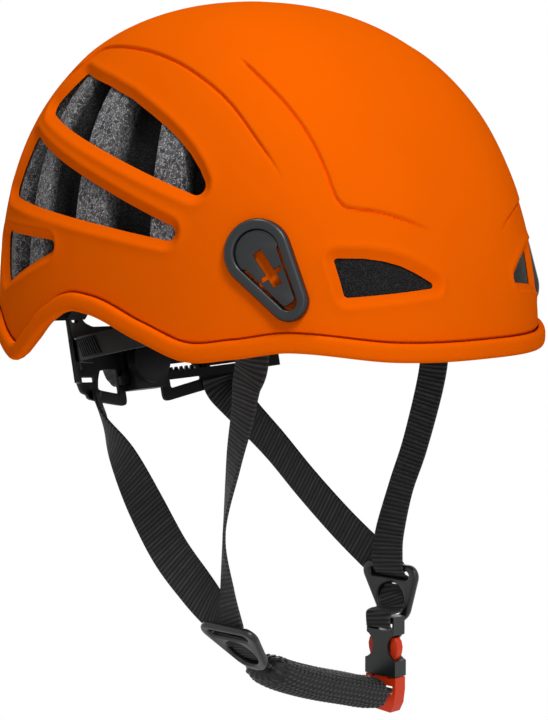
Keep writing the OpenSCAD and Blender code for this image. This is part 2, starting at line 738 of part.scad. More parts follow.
// Buckle: a socket with side windows, and a tongue whose two sprung prongs click into them.
// In its own frame the mouth of the socket is at zero and the tongue pulls out downwards.
module buckle_frame() {
    translate(buckle_at) children();
}
module side_outline() {
    w = buckle_width/2;
    difference() {
        polygon([[-w, 0], [w, 0], [w, 8.5], [w - 1, 20], [w - 1, socket_len], [1 - w, socket_len],
            [1 - w, 20], [-w, 8.5]]);
        for (s = [-1, 1])
            translate([s*(w + 1.8), waist_z]) circle(waist_r, $fn = 48);
    }
}
module upright(t) {
    rotate([90, 0, 0]) linear_extrude(t, center = true) children();
}
module buckle_socket() {
    color("#1e1f21")
        buckle_frame()
            difference() {
                upright(buckle_thick) side_outline();
                translate([0, 0, 10]) cube([cavity_wide, cavity_thick, 24], center = true);
                translate([0, 0, web_slot_z]) cube([chin_web + 1, 20, 4], center = true);
            }
}
module buckle_tongue() {
    w = buckle_width/2;
    color("#d93a14")
        buckle_frame()
            difference() {
                union() {
                    upright(buckle_thick - 1)
                        polygon([[-w, -0.4], [w, -0.4], [w, -7], [w - 1, -14], [w - 3.5, -18.7],
                            [-w + 2.5, -17.6], [-w, -13]]);
                    translate([-1.7, -1.4, -0.5]) cube([3.4, 2.8, 16]);
                }
                translate([0, 0, base_slot_z]) cube([chin_web + sleeve_slack, 20, 4.2], center = true);
                for (s = [-1, 1])
                    translate([s*prong_root[0], 0, prong_root[1]]) rotate([90, 0, 0])
                        cylinder(h = 10, d = 2.9, center = true, $fn = 32);
            }
}
module prong() {
    color("#d93a14")
        buckle_frame() {
            translate([prong_root[0], 0, prong_root[1]]) rotate([90, 0, 0])
                cylinder(h = prong_thick, d = 2.7, center = true, $fn = 32);
            upright(prong_thick)
                polygon([[4, 0], [6.4, 0], [6.8, 7.4], [8.8, 9.8], [9.7, 12.4], [10, 15], [9.2, 18],
                    [7.6, 19.8], [5.2, 19.8], [4.6, 16], [4.3, 9]]);
        }
}
module prong_front() {
    prong();
}
module prong_rear() {
    translate([2*buckle_at[0], 0, 0]) mirror([1, 0, 0]) prong();
}
module buckle_web() {
    top = buckle_at[2] + socket_len;
    y = buckle_at[1];
    in = y - buckle_thick/2 - seat_gap - web_thick/2;
    color("#232325")
        webbing([[43.9, 61.2, top + 14, 0], [44, 60.6, top + 10.6, 0], [44.1, 58, top + 8.4, 0],
            [44.3, 55.4, top + 6.2, 0], [44.8, 54.7, top + 3.6, 0], [45.4, y + 1.4, top + 2.2, 0],
            [46, y - 2.4, top + 2, 0], [46.4, in - 0.3, top + 0.6, 0], [46.5, in - 0.1, top - 5.6, 0]],
            3, [1, 0, 0], chin_web);
}

module chin_strap() {
    color("#232325")
        webbing(chin_route, 4, [1, 0, 0], chin_web);
}
module chin_pad() {
    color("#161617")
        sleeve([for (k = [2:6]) chin_route[k]], pad_broad, pad_thick, 14, 4);
}

// Pieces

outer_shell();
rim_band();
foam_liner();
clip_frame_right();
clip_frame_left();
clip_tongue_right();
clip_tongue_left();
suspension_plugs();
headband();
rear_cradle();
ratchet_base();
ratchet_cover();
rack_left();
rack_right();
drive_pinion();
adjuster_knob();
knob_screw();
strap_anchors();
front_strap_right();
front_strap_left();
rear_strap_right();
rear_strap_left();
slider_right();
slider_left();
buckle_web();
buckle_socket();
buckle_tongue();
prong_front();
prong_rear();
chin_strap();
chin_pad();
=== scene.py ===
"""Looks of a vented climbing and tree-care helmet, built round its packed assembly.

Sizes are in millimetres in the helmet's own frame: +X is the wearer's front, +Y the
wearer's left and +Z up, from the middle of the head opening at the level of the rim.
Angles round the shell are in degrees from the front, positive towards the left.
"""

from __future__ import annotations

import json
import logging
import math
from dataclasses import dataclass, field
from enum import Enum
from typing import Callable, Sequence

import bmesh
import bpy
import numpy as np
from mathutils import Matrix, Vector

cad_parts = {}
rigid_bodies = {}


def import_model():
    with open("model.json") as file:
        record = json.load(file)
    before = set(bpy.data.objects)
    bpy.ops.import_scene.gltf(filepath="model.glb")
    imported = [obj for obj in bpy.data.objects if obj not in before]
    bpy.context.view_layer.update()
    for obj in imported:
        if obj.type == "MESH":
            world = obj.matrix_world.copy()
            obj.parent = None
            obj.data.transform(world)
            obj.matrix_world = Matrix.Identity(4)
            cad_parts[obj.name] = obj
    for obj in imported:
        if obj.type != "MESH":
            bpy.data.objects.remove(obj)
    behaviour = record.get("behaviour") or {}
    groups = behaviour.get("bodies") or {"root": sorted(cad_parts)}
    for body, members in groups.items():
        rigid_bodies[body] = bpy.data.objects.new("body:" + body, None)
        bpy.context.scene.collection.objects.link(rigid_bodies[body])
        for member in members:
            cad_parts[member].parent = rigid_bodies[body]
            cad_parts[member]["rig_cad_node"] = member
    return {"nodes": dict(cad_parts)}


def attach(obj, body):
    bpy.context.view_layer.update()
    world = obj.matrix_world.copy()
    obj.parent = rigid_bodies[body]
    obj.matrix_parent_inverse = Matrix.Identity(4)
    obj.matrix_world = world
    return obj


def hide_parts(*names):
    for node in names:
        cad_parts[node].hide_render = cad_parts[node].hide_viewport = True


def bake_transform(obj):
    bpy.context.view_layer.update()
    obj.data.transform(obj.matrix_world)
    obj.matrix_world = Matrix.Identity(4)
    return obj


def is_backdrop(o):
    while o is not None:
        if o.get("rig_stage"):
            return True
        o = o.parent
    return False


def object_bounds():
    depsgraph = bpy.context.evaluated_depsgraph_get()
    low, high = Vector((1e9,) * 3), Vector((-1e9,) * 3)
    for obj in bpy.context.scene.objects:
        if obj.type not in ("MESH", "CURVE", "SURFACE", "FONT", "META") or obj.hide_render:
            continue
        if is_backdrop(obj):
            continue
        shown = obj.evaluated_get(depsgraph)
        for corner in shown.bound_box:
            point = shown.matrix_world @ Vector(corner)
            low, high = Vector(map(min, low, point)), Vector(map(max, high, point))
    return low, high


LOG = logging.getLogger("helmet")
MM = 0.001
Array = np.ndarray
Colour = tuple[float, float, float]
Spot = tuple[float, float, float]
Pair = tuple[float, float]
Faces = list[tuple[int, ...]]


class Side(Enum):
    """A side of the helmet, with the sign of its Y."""

    LEFT = 1
    RIGHT = -1

    @property
    def word(self) -> str:
        """The word that node names end in."""
        return self.name.lower()


class VentFace(Enum):
    """The plane on which a vent's outline is drawn."""

    SIDE = "x_and_z"
    FRONT = "y_and_z"


# Shared curves and meshes


def smoothstep(low: float, high: float, value: Array) -> Array:
    """Rise from 0 at low to 1 at high with level ends."""
    t = np.clip((value - low) / (high - low), 0.0, 1.0)
    return t * t * (3.0 - 2.0 * t)


def unit(vectors: Array) -> Array:
    """Vectors scaled to length 1 along the last axis."""
    return vectors / np.maximum(np.linalg.norm(vectors, axis=-1, keepdims=True), 1e-9)


def powered(value: Array, power: float) -> Array:
    """A power that keeps the sign of its base."""
    return np.sign(value) * np.abs(value) ** power


def smooth_leg(t: Array | float, a: Array, b: Array, pull_a: Array, pull_b: Array) -> Array:
    """Go smoothly from a to b.

    Args:
        t: Share of the way.
        a: Value at the start.
        b: Value at the end.
        pull_a: Rate of change at the start.
        pull_b: Rate of change at the end.

    Returns:
        The value at that share of the way.
    """
    start = (2 * t**3 - 3 * t**2 + 1) * a + (t**3 - 2 * t**2 + t) * pull_a
    return start + (3 * t**2 - 2 * t**3) * b + (t**3 - t**2) * pull_b


def through(stations: Sequence[Pair], at: Array) -> Array:
    """Read a smooth curve that passes through stations.

    Args:
        stations: Pairs of place and value, with the places rising.
        at: Places at which the curve is read.

    Returns:
        The curve's values, one for each place.
    """
    x, y = np.array(stations).T
    slope = np.zeros(len(x))
    slope[1:-1] = (y[2:] - y[:-2]) / (x[2:] - x[:-2])
    i = np.clip(np.searchsorted(x, at) - 1, 0, len(x) - 2)
    h = x[i + 1] - x[i]
    return smooth_leg((at - x[i]) / h, y[i], y[i + 1], h * slope[i], h * slope[i + 1])


def smooth_route(points: Sequence[Sequence[float]], steps: int) -> Array:
    """Draw a smooth route through points.

    Args:
        points: The points, with any count of numbers each.
        steps: Steps on each leg from one point to the next.

    Returns:
        The denser points, from the first point to the last.
    """
    r = np.array(points, float)
    ahead = np.vstack([r[1:], r[-1:]])
    behind = np.vstack([r[:1], r[:-1]])
    pull = (ahead - behind) / 2
    t = (np.arange(steps) / steps)[:, None]
    legs = [smooth_leg(t, r[i], r[i + 1], pull[i], pull[i + 1]) for i in range(len(r) - 1)]
    return np.vstack(legs + [r[-1:]])


def run_along(points: Array) -> Array:
    """Length of the way from the first point to each point."""
    return np.concatenate([[0.0], np.cumsum(np.linalg.norm(np.diff(points, axis=0), axis=1))])


def read_along(points: Array, run: Array, at: Array) -> Array:
    """Read a line at lengths along it.

    Args:
        points: The line's points, one row each.
        run: Length of the way to each of them.
        at: Lengths at which the line is read.

    Returns:
        The points found, one row each.
    """
    return np.stack([np.interp(at, run, column) for column in points.T], -1)


def on_circle(radius: float, angles: Array) -> Array:
    """Points of a circle about the origin, at angles in radians."""
    return radius * np.stack([np.cos(angles), np.sin(angles)], -1)


def nearest_on(points: Array, line: Array, closed: bool) -> tuple[Array, Array, Array, Array]:
    """Find the nearest place on a line of points.

    Args:
        points: Places to measure from, one row each.
        line: Points of the line, one row each.
        closed: Whether the line goes back to its start.

    Returns:
        For each place its distance, its share of the line's length, the step from the line
        to it, and the line's direction there.
    """
    starts = line if closed else line[:-1]
    legs = (np.roll(line, -1, axis=0) if closed else line[1:]) - starts
    lengths = np.linalg.norm(legs, axis=1)
    before = np.concatenate([[0.0], np.cumsum(lengths)])
    found: list[list[Array]] = []
    for chunk in np.array_split(points, max(1, len(points) // 4000)):
        away = chunk[:, None, :] - starts[None]
        t = np.clip((away * legs).sum(2) / np.maximum(lengths**2, 1e-9), 0, 1)
        step = away - t[..., None] * legs
        distance = np.linalg.norm(step, axis=2)
        k = distance.argmin(1)
        row = np.arange(len(chunk))
        share = (before[k] + t[row, k] * lengths[k]) / before[-1]
        found.append([distance[row, k], share, step[row, k], unit(legs)[k]])
    return tuple(np.concatenate(part) for part in zip(*found))


def new_mesh(name: str, points: Array, faces: Faces, sharp: float = 180.0) -> bpy.types.Object:
    """Make a mesh object from points in millimetres.

    Args:
        name: Name of the piece.
        points: Corner points, one row each.
        faces: Corner numbers of each face.
        sharp: Edges that turn by more than this angle stay sharp.

    Returns:
        The new object, linked to the scene.
    """
    mesh = bpy.data.meshes.new(name)
    mesh.from_pydata((np.asarray(points) * MM).tolist(), [], faces)
    mesh.validate()
    mesh.shade_smooth()
    if sharp < 180.0:
        mesh.set_sharp_from_angle(angle=math.radians(sharp))
    obj = bpy.data.objects.new(name, mesh)
    bpy.context.scene.collection.objects.link(obj)
    return obj


def turned(faces: Faces, side: Side) -> Faces:
    """Faces of a piece drawn for the left side, turned over for the right."""
    return [f[::-1] for f in faces] if side is Side.RIGHT else faces


def store(obj: bpy.types.Object, name: str, values: Array) -> None:
    """Keep one number for each corner point, for a finish to read."""
    layer = obj.data.attributes.new(name, "FLOAT", "POINT")
    layer.data.foreach_set("value", np.asarray(values, np.float32))


def ring_faces(rings: int, sides: int, closed: bool, capped: bool = False) -> Faces:
    """Faces between rings of points.

    Args:
        rings: Count of rings.
        sides: Points on each ring.
        closed: Whether the last ring joins the first.
        capped: Whether the two ends are closed by one face each.

    Returns:
        The faces' corner numbers.
    """
    faces: Faces = []
    for i in range(rings if closed else rings - 1):
        a, b = i * sides, ((i + 1) % rings) * sides
        for j in range(sides):
            k = (j + 1) % sides
            faces.append((a + j, a + k, b + k, b + j))
    if capped:
        faces.append(tuple(range(sides - 1, -1, -1)))
        faces.append(tuple(range((rings - 1) * sides, rings * sides)))
    return faces


def rounded_box(width: float, height: float, radius: float, arc: int) -> Array:
    """Outline of a rectangle with round corners, counter-clockwise.

    Args:
        width: Full width.
        height: Full height.
        radius: Radius of the corners.
        arc: Steps in each corner.

    Returns:
        The outline's points.
    """
    points = []
    for k, (sx, sy) in enumerate(((1, 1), (-1, 1), (-1, -1), (1, -1))):
        for s in range(arc + 1):
            a = math.radians(90 * k + 90 * s / arc)
            x = sx * (width / 2 - radius) + radius * math.cos(a)
            points.append((x, sy * (height / 2 - radius) + radius * math.sin(a)))
    return np.array(points)


def round_hull(circles: Sequence[Spot], steps: int = 96) -> Array:
    """Outline of the tight band round circles, counter-clockwise.

    Args:
        circles: Middle and radius of each circle.
        steps: Points on the outline.

    Returns:
        The outline's points.
    """
    c = np.array(circles, float)
    way = on_circle(1.0, np.linspace(0, 2 * np.pi, steps, endpoint=False))
    k = (way @ c[:, :2].T + c[:, 2]).argmax(1)
    return c[k, :2] + c[k, 2:] * way


def eased(corners: Sequence[Pair], radius: float, steps: int = 5) -> Array:
    """Round the corners of an outline.

    Args:
        corners: The outline's corners in order.
        radius: How far from each corner its curve starts.
        steps: Points on each curve.

    Returns:
        The rounded outline.
    """
    c = np.array(corners, float)
    points = []
    most = 0.48
    for i, here in enumerate(c):
        legs = (c[i - 1] - here, c[(i + 1) % len(c)] - here)
        start, end = (here + leg * min(radius / np.linalg.norm(leg), most) for leg in legs)
        for t in np.linspace(0, 1, steps):
            points.append((1 - t) ** 2 * start + 2 * t * (1 - t) * here + t * t * end)
    return np.array(points)


@dataclass
class Plate:
    """A flat plate with holes and rounded edges, drawn on its own X and Y."""

    name: str
    outer: Array
    holes: tuple[Array, ...]
    low: float
    high: float
    edge: float
    slices: tuple[float, ...] = ()
    weld: float = 0.01
    crease: float = 40.0

    def build(self, place: Callable[[Array], Array], flip: bool = False) -> bpy.types.Object:
        """Make the plate.

        Args:
            place: Carries points of the plate's frame to the helmet's.
            flip: Whether that mirrors the plate.

        Returns:
            The plate.
        """
        curve = bpy.data.curves.new(self.name, "CURVE")
        curve.dimensions = "2D"
        curve.fill_mode = "BOTH"
        curve.bevel_depth = self.edge
        curve.bevel_resolution = 2
        curve.offset = -self.edge
        curve.extrude = (self.high - self.low) / 2 - self.edge
        for ring in (self.outer, *self.holes):
            spline = curve.splines.new("POLY")
            spline.points.add(len(ring) - 1)
            for point, (x, y) in zip(spline.points, ring):
                point.co = (x, y, 0.0, 1.0)
            spline.use_cyclic_u = True
        drawn = bpy.data.objects.new(self.name, curve)
        bpy.context.scene.collection.objects.link(drawn)
        solid = drawn.evaluated_get(bpy.context.evaluated_depsgraph_get())
        flat = bpy.data.meshes.new_from_object(solid)
        bm = bmesh.new()
        bm.from_mesh(flat)
        bmesh.ops.remove_doubles(bm, verts=bm.verts[:], dist=self.weld)
        for x in self.slices:
            bmesh.ops.bisect_plane(
                bm,
                geom=bm.verts[:] + bm.edges[:] + bm.faces[:],
                dist=self.weld,
                plane_co=(x, 0, 0),
                plane_no=(1, 0, 0),
            )
        bm.verts.index_update()
        points = np.array([v.co for v in bm.verts]) + np.array([0, 0, (self.low + self.high) / 2])
        faces = [tuple(v.index for v in f.verts)[:: -1 if flip else 1] for f in bm.faces]
        bm.free()
        bpy.data.objects.remove(drawn)
        bpy.data.curves.remove(curve)
        bpy.data.meshes.remove(flat)
        return new_mesh(self.name, place(points), faces, self.crease)


# Finishes


class Nodes:
    """A short way to add and join the nodes of a material or a surround."""

    def __init__(self, owner: bpy.types.Material | bpy.types.World) -> None:
        """Start with the owner's first shader and its output.

        Args:
            owner: The material or surround.
        """
        owner.use_nodes = True
        self.tree = owner.node_tree
        self.owner = owner
        first = "Background" if isinstance(owner, bpy.types.World) else "Principled BSDF"
        self.shader = self.tree.nodes[first]

    def add(self, kind: str, inputs: dict | None = None, **settings: object) -> bpy.types.Node:
        """Add a node.

        Args:
            kind: The node's type, without its ShaderNode prefix.
            inputs: Values or sockets by input name or number.
            settings: The node's own properties.

        Returns:
            The node.
        """
        node = self.tree.nodes.new("ShaderNode" + kind)
        for key, value in settings.items():
            setattr(node, key, value)
        for key, value in (inputs or {}).items():
            self.put(node.inputs[key], value)
        return node

    def put(self, socket: bpy.types.NodeSocket, value: object) -> None:
        """Set a socket, or join another socket to it.

        Args:
            socket: The input.
            value: A plain value, or the output that is joined to it.
        """
        if isinstance(value, bpy.types.NodeSocket):
            self.tree.links.new(value, socket)
        else:
            socket.default_value = value

    def math(self, operation: str, a: object, b: object = 0.0) -> bpy.types.NodeSocket:
        """The result of a calculation on two values or sockets."""
        return self.add("Math", {0: a, 1: b}, operation=operation).outputs[0]

    def place(self) -> bpy.types.NodeSocket:
        """Places in the piece's own frame, in metres."""
        return self.add("TexCoord").outputs["Object"]

    def stored(self, name: str) -> bpy.types.NodeSocket:
        """A number kept on the mesh."""
        return self.add("Attribute", attribute_name=name).outputs["Fac"]

    def noise(self, scale: float, detail: float = 3.0, rough: float = 0.5) -> bpy.types.NodeSocket:
        """Cloudy noise with a scale in turns per metre."""
        inputs = {"Vector": self.place(), "Scale": scale, "Detail": detail, "Roughness": rough}
        return self.add("TexNoise", inputs).outputs[0]

    def span(self, value: object, low: float, high: float, to: Pair) -> bpy.types.NodeSocket:
        """A value carried from one range to another and held at its ends."""
        inputs = {0: value, 1: low, 2: high, 3: to[0], 4: to[1]}
        return self.add("MapRange", inputs).outputs[0]

    def wave(self, value: object, length: float) -> bpy.types.NodeSocket:
        """A sine wave of that length along a value."""
        return self.math("SINE", self.math("MULTIPLY", value, 2 * math.pi / length))

    def mix(self, share: object, a: object, b: object) -> bpy.types.NodeSocket:
        """A colour between two colours.

        Args:
            share: Share of the second colour.
            a: First colour, or a socket that gives it.
            b: Second colour, or a socket that gives it.

        Returns:
            The mixed colour's socket.
        """
        node = self.add("Mix", data_type="RGBA")
        self.put(node.inputs["Factor"], share)
        for key, value in (("A", a), ("B", b)):
            socket = [s for s in node.inputs if s.name == key and s.type == "RGBA"][0]
            self.put(socket, value if isinstance(value, bpy.types.NodeSocket) else (*value, 1.0))
        return [s for s in node.outputs if s.type == "RGBA"][0]

    def bump(self, height: object, depth: float, strength: float = 1.0) -> None:
        """Give the shader a relief of that depth in metres."""
        node = self.add("Bump", {"Height": height, "Strength": strength, "Distance": depth})
        self.put(self.shader.inputs["Normal"], node.outputs[0])

    def base(self, colour: object, rough: object, specular: float = 0.5) -> None:
        """Set what the shader shows.

        Args:
            colour: Its colour, or a socket that gives it.
            rough: Its roughness, or a socket that gives it.
            specular: Strength of its reflection.
        """
        self.put(self.shader.inputs["Base Color"], colour)
        self.put(self.shader.inputs["Roughness"], rough)
        self.put(self.shader.inputs["Specular IOR Level"], specular)


def new_nodes(name: str) -> Nodes:
    """Nodes of a new material."""
    return Nodes(bpy.data.materials.new(name))


def toned(colour: Colour, by: float) -> Colour:
    """A colour made lighter or darker by a factor."""
    return tuple(min(1.0, c * by) for c in colour)


@dataclass(frozen=True)
class MouldedPlastic:
    """Moulded plastic with a fine grain and a faint unevenness of colour and gloss."""

    name: str
    colour: Colour
    rough: float
    grain: float = 1400.0
    depth: float = 0.00002
    uneven: float = 0.08
    specular: float = 0.5
    sheen: float = 0.0
    sheen_tint: Colour = (1.0, 1.0, 1.0)

    def make(self) -> bpy.types.Material:
        """Build the material.

        Returns:
            The material.
        """
        n = new_nodes(self.name)
        cloud = n.noise(26.0, 4.0)
        grain = n.noise(self.grain, 2.0)
        dull, bright = (toned(self.colour, 1 + sign * self.uneven) for sign in (-1, 1))
        gloss = n.span(n.noise(90.0), 0.3, 0.7, (self.rough - 0.04, self.rough + 0.06))
        n.base(n.mix(cloud, dull, bright), gloss, self.specular)
        n.put(n.shader.inputs["Sheen Weight"], self.sheen)
        n.put(n.shader.inputs["Sheen Tint"], (*self.sheen_tint, 1.0))
        n.bump(grain, self.depth)
        return n.owner


@dataclass(frozen=True)
class BeadFoam:
    """Expanded bead foam: pressed beads with pale seams and a scatter of light beads."""

    name: str
    dark: Colour
    light: Colour
    seam: Colour
    bead: float = 380.0
    finer: float = 2.6
    wobble: float = 0.0024

    def make(self) -> bpy.types.Material:
        """Build the material.

        Returns:
            The material.
        """
        n = new_nodes(self.name)
        bend = n.add("TexNoise", {"Vector": n.place(), "Scale": 420.0, "Detail": 3.0}).outputs[1]
        shift = n.add("VectorMath", {0: bend, "Scale": self.wobble}, operation="SCALE").outputs[0]
        spot = n.add("VectorMath", {0: n.place(), 1: shift}, operation="ADD").outputs[0]
        whole = {"Vector": spot, "Scale": self.bead}
        fine = {"Vector": spot, "Scale": self.bead * self.finer}
        cell = n.add("TexVoronoi", whole).outputs["Color"]
        near, close = (
            n.add("TexVoronoi", inputs, feature="DISTANCE_TO_EDGE").outputs["Distance"]
            for inputs in (whole, fine)
        )
        tint = n.span(n.add("SeparateColor", {0: cell}).outputs[0], 0.1, 0.9, (0.2, 1.0))
        speck = n.noise(1500.0, 4.0, 0.8)
        share = n.math("MULTIPLY", tint, n.span(speck, 0.36, 0.66, (0.1, 1.0)))
        at_seam = n.span(near, 0.03, 0.2, (1.0, 0.0))
        fleck = n.math("MULTIPLY", at_seam, n.span(speck, 0.5, 0.62, (0.0, 1.0)))
        face = n.mix(fleck, n.mix(share, self.dark, self.light), self.seam)
        # Painted shade: off the ribs, in the air channels and at the front, the foam is painted near
        # black, with faint light lines.
        net = n.math("MULTIPLY", n.span(close, 0.01, 0.1, (0.2, 0.0)), speck)
        skin = n.mix(net, toned(self.dark, 0.1), self.light)
        n.base(n.mix(n.stored("rib"), skin, face), 0.66, 0.1)
        puffed = n.span(near, 0.0, 0.2, (0.0, 1.0))
        n.bump(n.math("ADD", puffed, n.math("MULTIPLY", speck, 0.8)), 0.0004, 0.7)
        return n.owner


@dataclass(frozen=True)
class WovenTape:
    """Ribbed woven tape, which reads how far along and across the tape a point lies."""

    name: str
    colour: Colour
    rib: float = 2.1
    yarn: float = 0.9
    crimp: float = 6.3
    slant: float = 0.12
    shade: Pair = (0.45, 3.4)
    selvedge: float = 2.4

    def make(self) -> bpy.types.Material:
        """Build the material.

        Returns:
            The material.
        """
        n = new_nodes(self.name)
        along = n.stored("along")
        across = n.stored("across")
        leant = n.math("ADD", along, n.math("MULTIPLY", across, self.slant))
        rib = n.span(n.wave(leant, self.rib), -1.0, 1.0, (0.0, 1.0))
        yarn = n.span(n.wave(across, self.yarn), -1.0, 1.0, (0.7, 1.0))
        weave = n.math("MULTIPLY", rib, yarn)
        wander = n.math("MULTIPLY", n.noise(70.0, 2.0), 3.0)
        crimp = n.span(n.wave(n.math("ADD", along, wander), self.crimp), -1.0, 1.0, (0.0, 1.0))
        fold = n.math("MULTIPLY", crimp, n.span(n.noise(160.0), 0.3, 0.7, (0.3, 1.0)))
        # Painted light and shade: the weave's ribs and the crimp's folds run from the shade's dark tone to
        # its light one.
        lit = n.math("MULTIPLY", weave, n.span(fold, 0.0, 1.0, (0.45, 1.0)))
        # The tape is made lighter along its edges, on the ribs.
        hem = n.math("MULTIPLY", n.span(n.stored("edge"), 0.9, 0.96, (0.0, 1.0)), rib)
        tape = n.mix(lit, *(toned(self.colour, by) for by in self.shade))
        n.base(n.mix(hem, tape, toned(self.colour, self.selvedge)), 0.7, 0.16)
        fuzz = n.math("MULTIPLY", n.noise(1900.0, 3.0, 0.7), 0.35)
        relief = n.math("ADD", n.math("ADD", weave, fuzz), n.math("MULTIPLY", fold, 1.2))
        n.bump(relief, 0.00022)
        return n.owner


@dataclass(frozen=True)
class KnitYarn:
    """Soft knitted yarn with loose fibres."""

    name: str
    colour: Colour
    shade: Pair = (0.2, 12.5)

    def make(self) -> bpy.types.Material:
        """Build the material.

        Returns:
            The material.
        """
        n = new_nodes(self.name)
        fuzz = n.noise(2600.0, 4.0, 0.75)
        # Painted highlight: raised stitches are coloured up to 12.5 times lighter than the yarn, as
        # glints.
        lit = n.math("POWER", n.stored("stitch"), 2.2)
        share = n.math("MULTIPLY", lit, n.span(fuzz, 0.35, 0.7, (0.3, 1.0)))
        n.base(n.mix(share, *(toned(self.colour, by) for by in self.shade)), 0.42, 0.3)
        n.bump(fuzz, 0.00018)
        return n.owner


@dataclass(frozen=True)
class PlatedSteel:
    """Plated steel with a fine grain."""

    name: str
    colour: Colour

    def make(self) -> bpy.types.Material:
        """Build the material.

        Returns:
            The material.
        """
        n = new_nodes(self.name)
        tone = n.mix(n.noise(700.0), toned(self.colour, 0.8), self.colour)
        n.base(tone, n.span(n.noise(300.0), 0.3, 0.7, (0.25, 0.4)))
        n.put(n.shader.inputs["Metallic"], 1.0)
        n.bump(n.noise(2400.0), 0.00001)
        return n.owner


class Finishes:
    """Every finish of the helmet, made once and kept by the record's slot name."""

    KINDS = (
        MouldedPlastic(
            "shell_orange",
            (0.90, 0.125, 0.0005),
            rough=0.5,
            grain=900.0,
            depth=0.000012,
            uneven=0.03,
            specular=0.0,
            sheen=0.06,
            sheen_tint=(1.0, 0.36, 0.01),
        ),
        BeadFoam("bead_foam", (0.03, 0.03, 0.032), (0.3, 0.3, 0.31), (0.75, 0.75, 0.77)),
        MouldedPlastic("clip_black", (0.008, 0.009, 0.0103), 0.31, specular=0.42),
        MouldedPlastic("suspension_black", (0.005, 0.005, 0.0055), 0.5, specular=0.2),
        MouldedPlastic("pinion_grey", (0.55, 0.52, 0.47), 0.5),
        PlatedSteel("screw_steel", (0.62, 0.62, 0.63)),
        WovenTape("webbing_black", (0.0265, 0.026, 0.0258)),
        MouldedPlastic("buckle_red", (0.78, 0.045, 0.004), 0.34, uneven=0.06, specular=0.25),
        KnitYarn("sleeve_knit", (0.009, 0.009, 0.0092)),
    )

    def __init__(self) -> None:
        """Build the materials."""
        self.by_slot = {kind.name: kind.make() for kind in self.KINDS}

    def dress(self, obj: bpy.types.Object, slot: str) -> None:
        """Give a piece the finish of a slot.

        Args:
            obj: The piece.
            slot: Name of the record's slot.
        """
        obj.data.materials.clear()
        obj.data.materials.append(self.by_slot[slot])
        "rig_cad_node" not in obj


# The shell and what is fixed to it


@dataclass
class ShellForm:
    """The outer surface that shell, rim, liner and clips share."""

    front: float = 151.0
    rear: float = 132.0
    half_width: float = 110.0
    height: float = 162.0
    wall: float = 3.0
    front_fullness: float = 1.66
    side_fullness: float = 3.17
    rear_fullness: float = 2.06
    plan_power: float = 2.29
    dome_power: float = 2.16
    rim_front: float = -4.5
    ear_arch: float = 14.8
    lobe_drop: float = -12.0
    nape_rise: float = 5.0
    band_height: float = 8.6
    shell_lift: float = 2.4

    def stations(self) -> list[Pair]:
        """List the rim's heights.

        Returns:
            Pairs of angle from the front and height.
        """
        f, e, b, n = self.rim_front, self.ear_arch, self.lobe_drop, self.nape_rise
        front = [(0, f), (25, f + 0.7), (48, f + 5.1), (60, f + 1.5), (70, f - 0.5)]
        ear = [(80, e - 11.3), (92, e), (100, e - 7.8), (106, b + 8.5), (113, b), (120, b + 3.5)]
        return front + ear + [(130, n - 3), (150, n), (180, n)]

    def rim(self, p: Array) -> Array:
        """Height of the rim at an angle."""
        return through(self.stations(), np.abs((np.asarray(p) + 180) % 360 - 180))

    def band_top(self, p: Array) -> Array:
        """Find the rim band's upper edge.

        Args:
            p: Angles from the front.

        Returns:
            The edge's heights.
        """
        step = 1.5
        run = self.skin(p + step, 0 * p, 0.0) - self.skin(p - step, 0 * p, 0.0)
        slope = (self.rim(p + step) - self.rim(p - step)) / np.linalg.norm(run, axis=-1)
        return self.rim(p) + self.band_height * np.sqrt(1 + slope**2)

    def skin(self, p: Array, z: Array, d: Array | float) -> Array:
        """Points on the surface that lies d below the outer face.

        Args:
            p: Angles from the front.
            z: Heights.
            d: Depth below the outer face.

        Returns:
            The points, one row each.
        """
        c, s = np.cos(np.radians(p)), np.sin(np.radians(p))
        end = np.where(c >= 0, self.front_fullness, self.rear_fullness)
        full = self.side_fullness + (end - self.side_fullness) * c**2
        top = self.height - d
        k = np.maximum(0, 1 - (np.clip(z, 0, top) / top) ** full) ** (1 / self.dome_power)
        reach = np.where(c >= 0, self.front, self.rear) - d
        e = 2 / self.plan_power
        x = reach * powered(c, e) * k
        return np.stack([x, (self.half_width - d) * powered(s, e) * k, z + 0 * c], -1)

    def climb(self, low: Array, w: Array, d: float) -> Array:
        """Heights from low to the crown of the surface d below the outer face, by share."""
        return low + (self.height - d - low) * np.sin(np.pi / 2 * w)

    def sheet(self, p: Array, w: Array) -> Array:
        """Points by angle and by share of the way from the shell's lower edge to the crown."""
        return self.skin(p, self.climb(self.rim(p) + self.shell_lift, w, 0.0), 0.0)

    def sheet_normal(self, p: Array, w: Array) -> Array:
        """Find the outward directions at points given as for sheet.

        Args:
            p: Angles from the front.
            w: Shares of the way to the crown.

        Returns:
            The directions, one row each.
        """
        round_step = self.sheet(p + 0.4, w) - self.sheet(p - 0.4, w)
        up_step = self.sheet(p, np.minimum(w + 0.002, 1)) - self.sheet(p, w - 0.002)
        out = unit(np.cross(round_step, up_step))
        out[w > 0.9995] = (0.0, 0.0, 1.0)
        return out

    def angle(self, points: Array) -> Array:
        """Find the angle round the shell of points on or near it.

        Args:
            points: The points, one row each.

        Returns:
            Their angles from the front.
        """
        x, y = points[:, 0], points[:, 1]
        reach = np.where(x >= 0, self.front, self.rear)
        e = self.plan_power / 2
        return np.degrees(np.arctan2(powered(y / self.half_width, e), powered(x / reach, e)))

    def on_skin(self, p: float, z: float) -> tuple[Array, Array]:
        """Find the local frame on the outer face: X along the rim, Y up the shell, Z out of it.

        Args:
            p: Angle from the front.
            z: Height.

        Returns:
            The frame's axes as columns, and its origin.
        """
        around = np.array([(p + 1, z), (p - 1, z), (p, z + 1), (p, z - 1), (p, z)])
        a, b, c, e, origin = self.skin(around[:, 0], around[:, 1], 0.0)
        out = unit(np.cross(a - b, c - e))
        x = unit(np.cross([0, 0, 1], out))
        return np.column_stack([x, np.cross(out, x), out]), origin


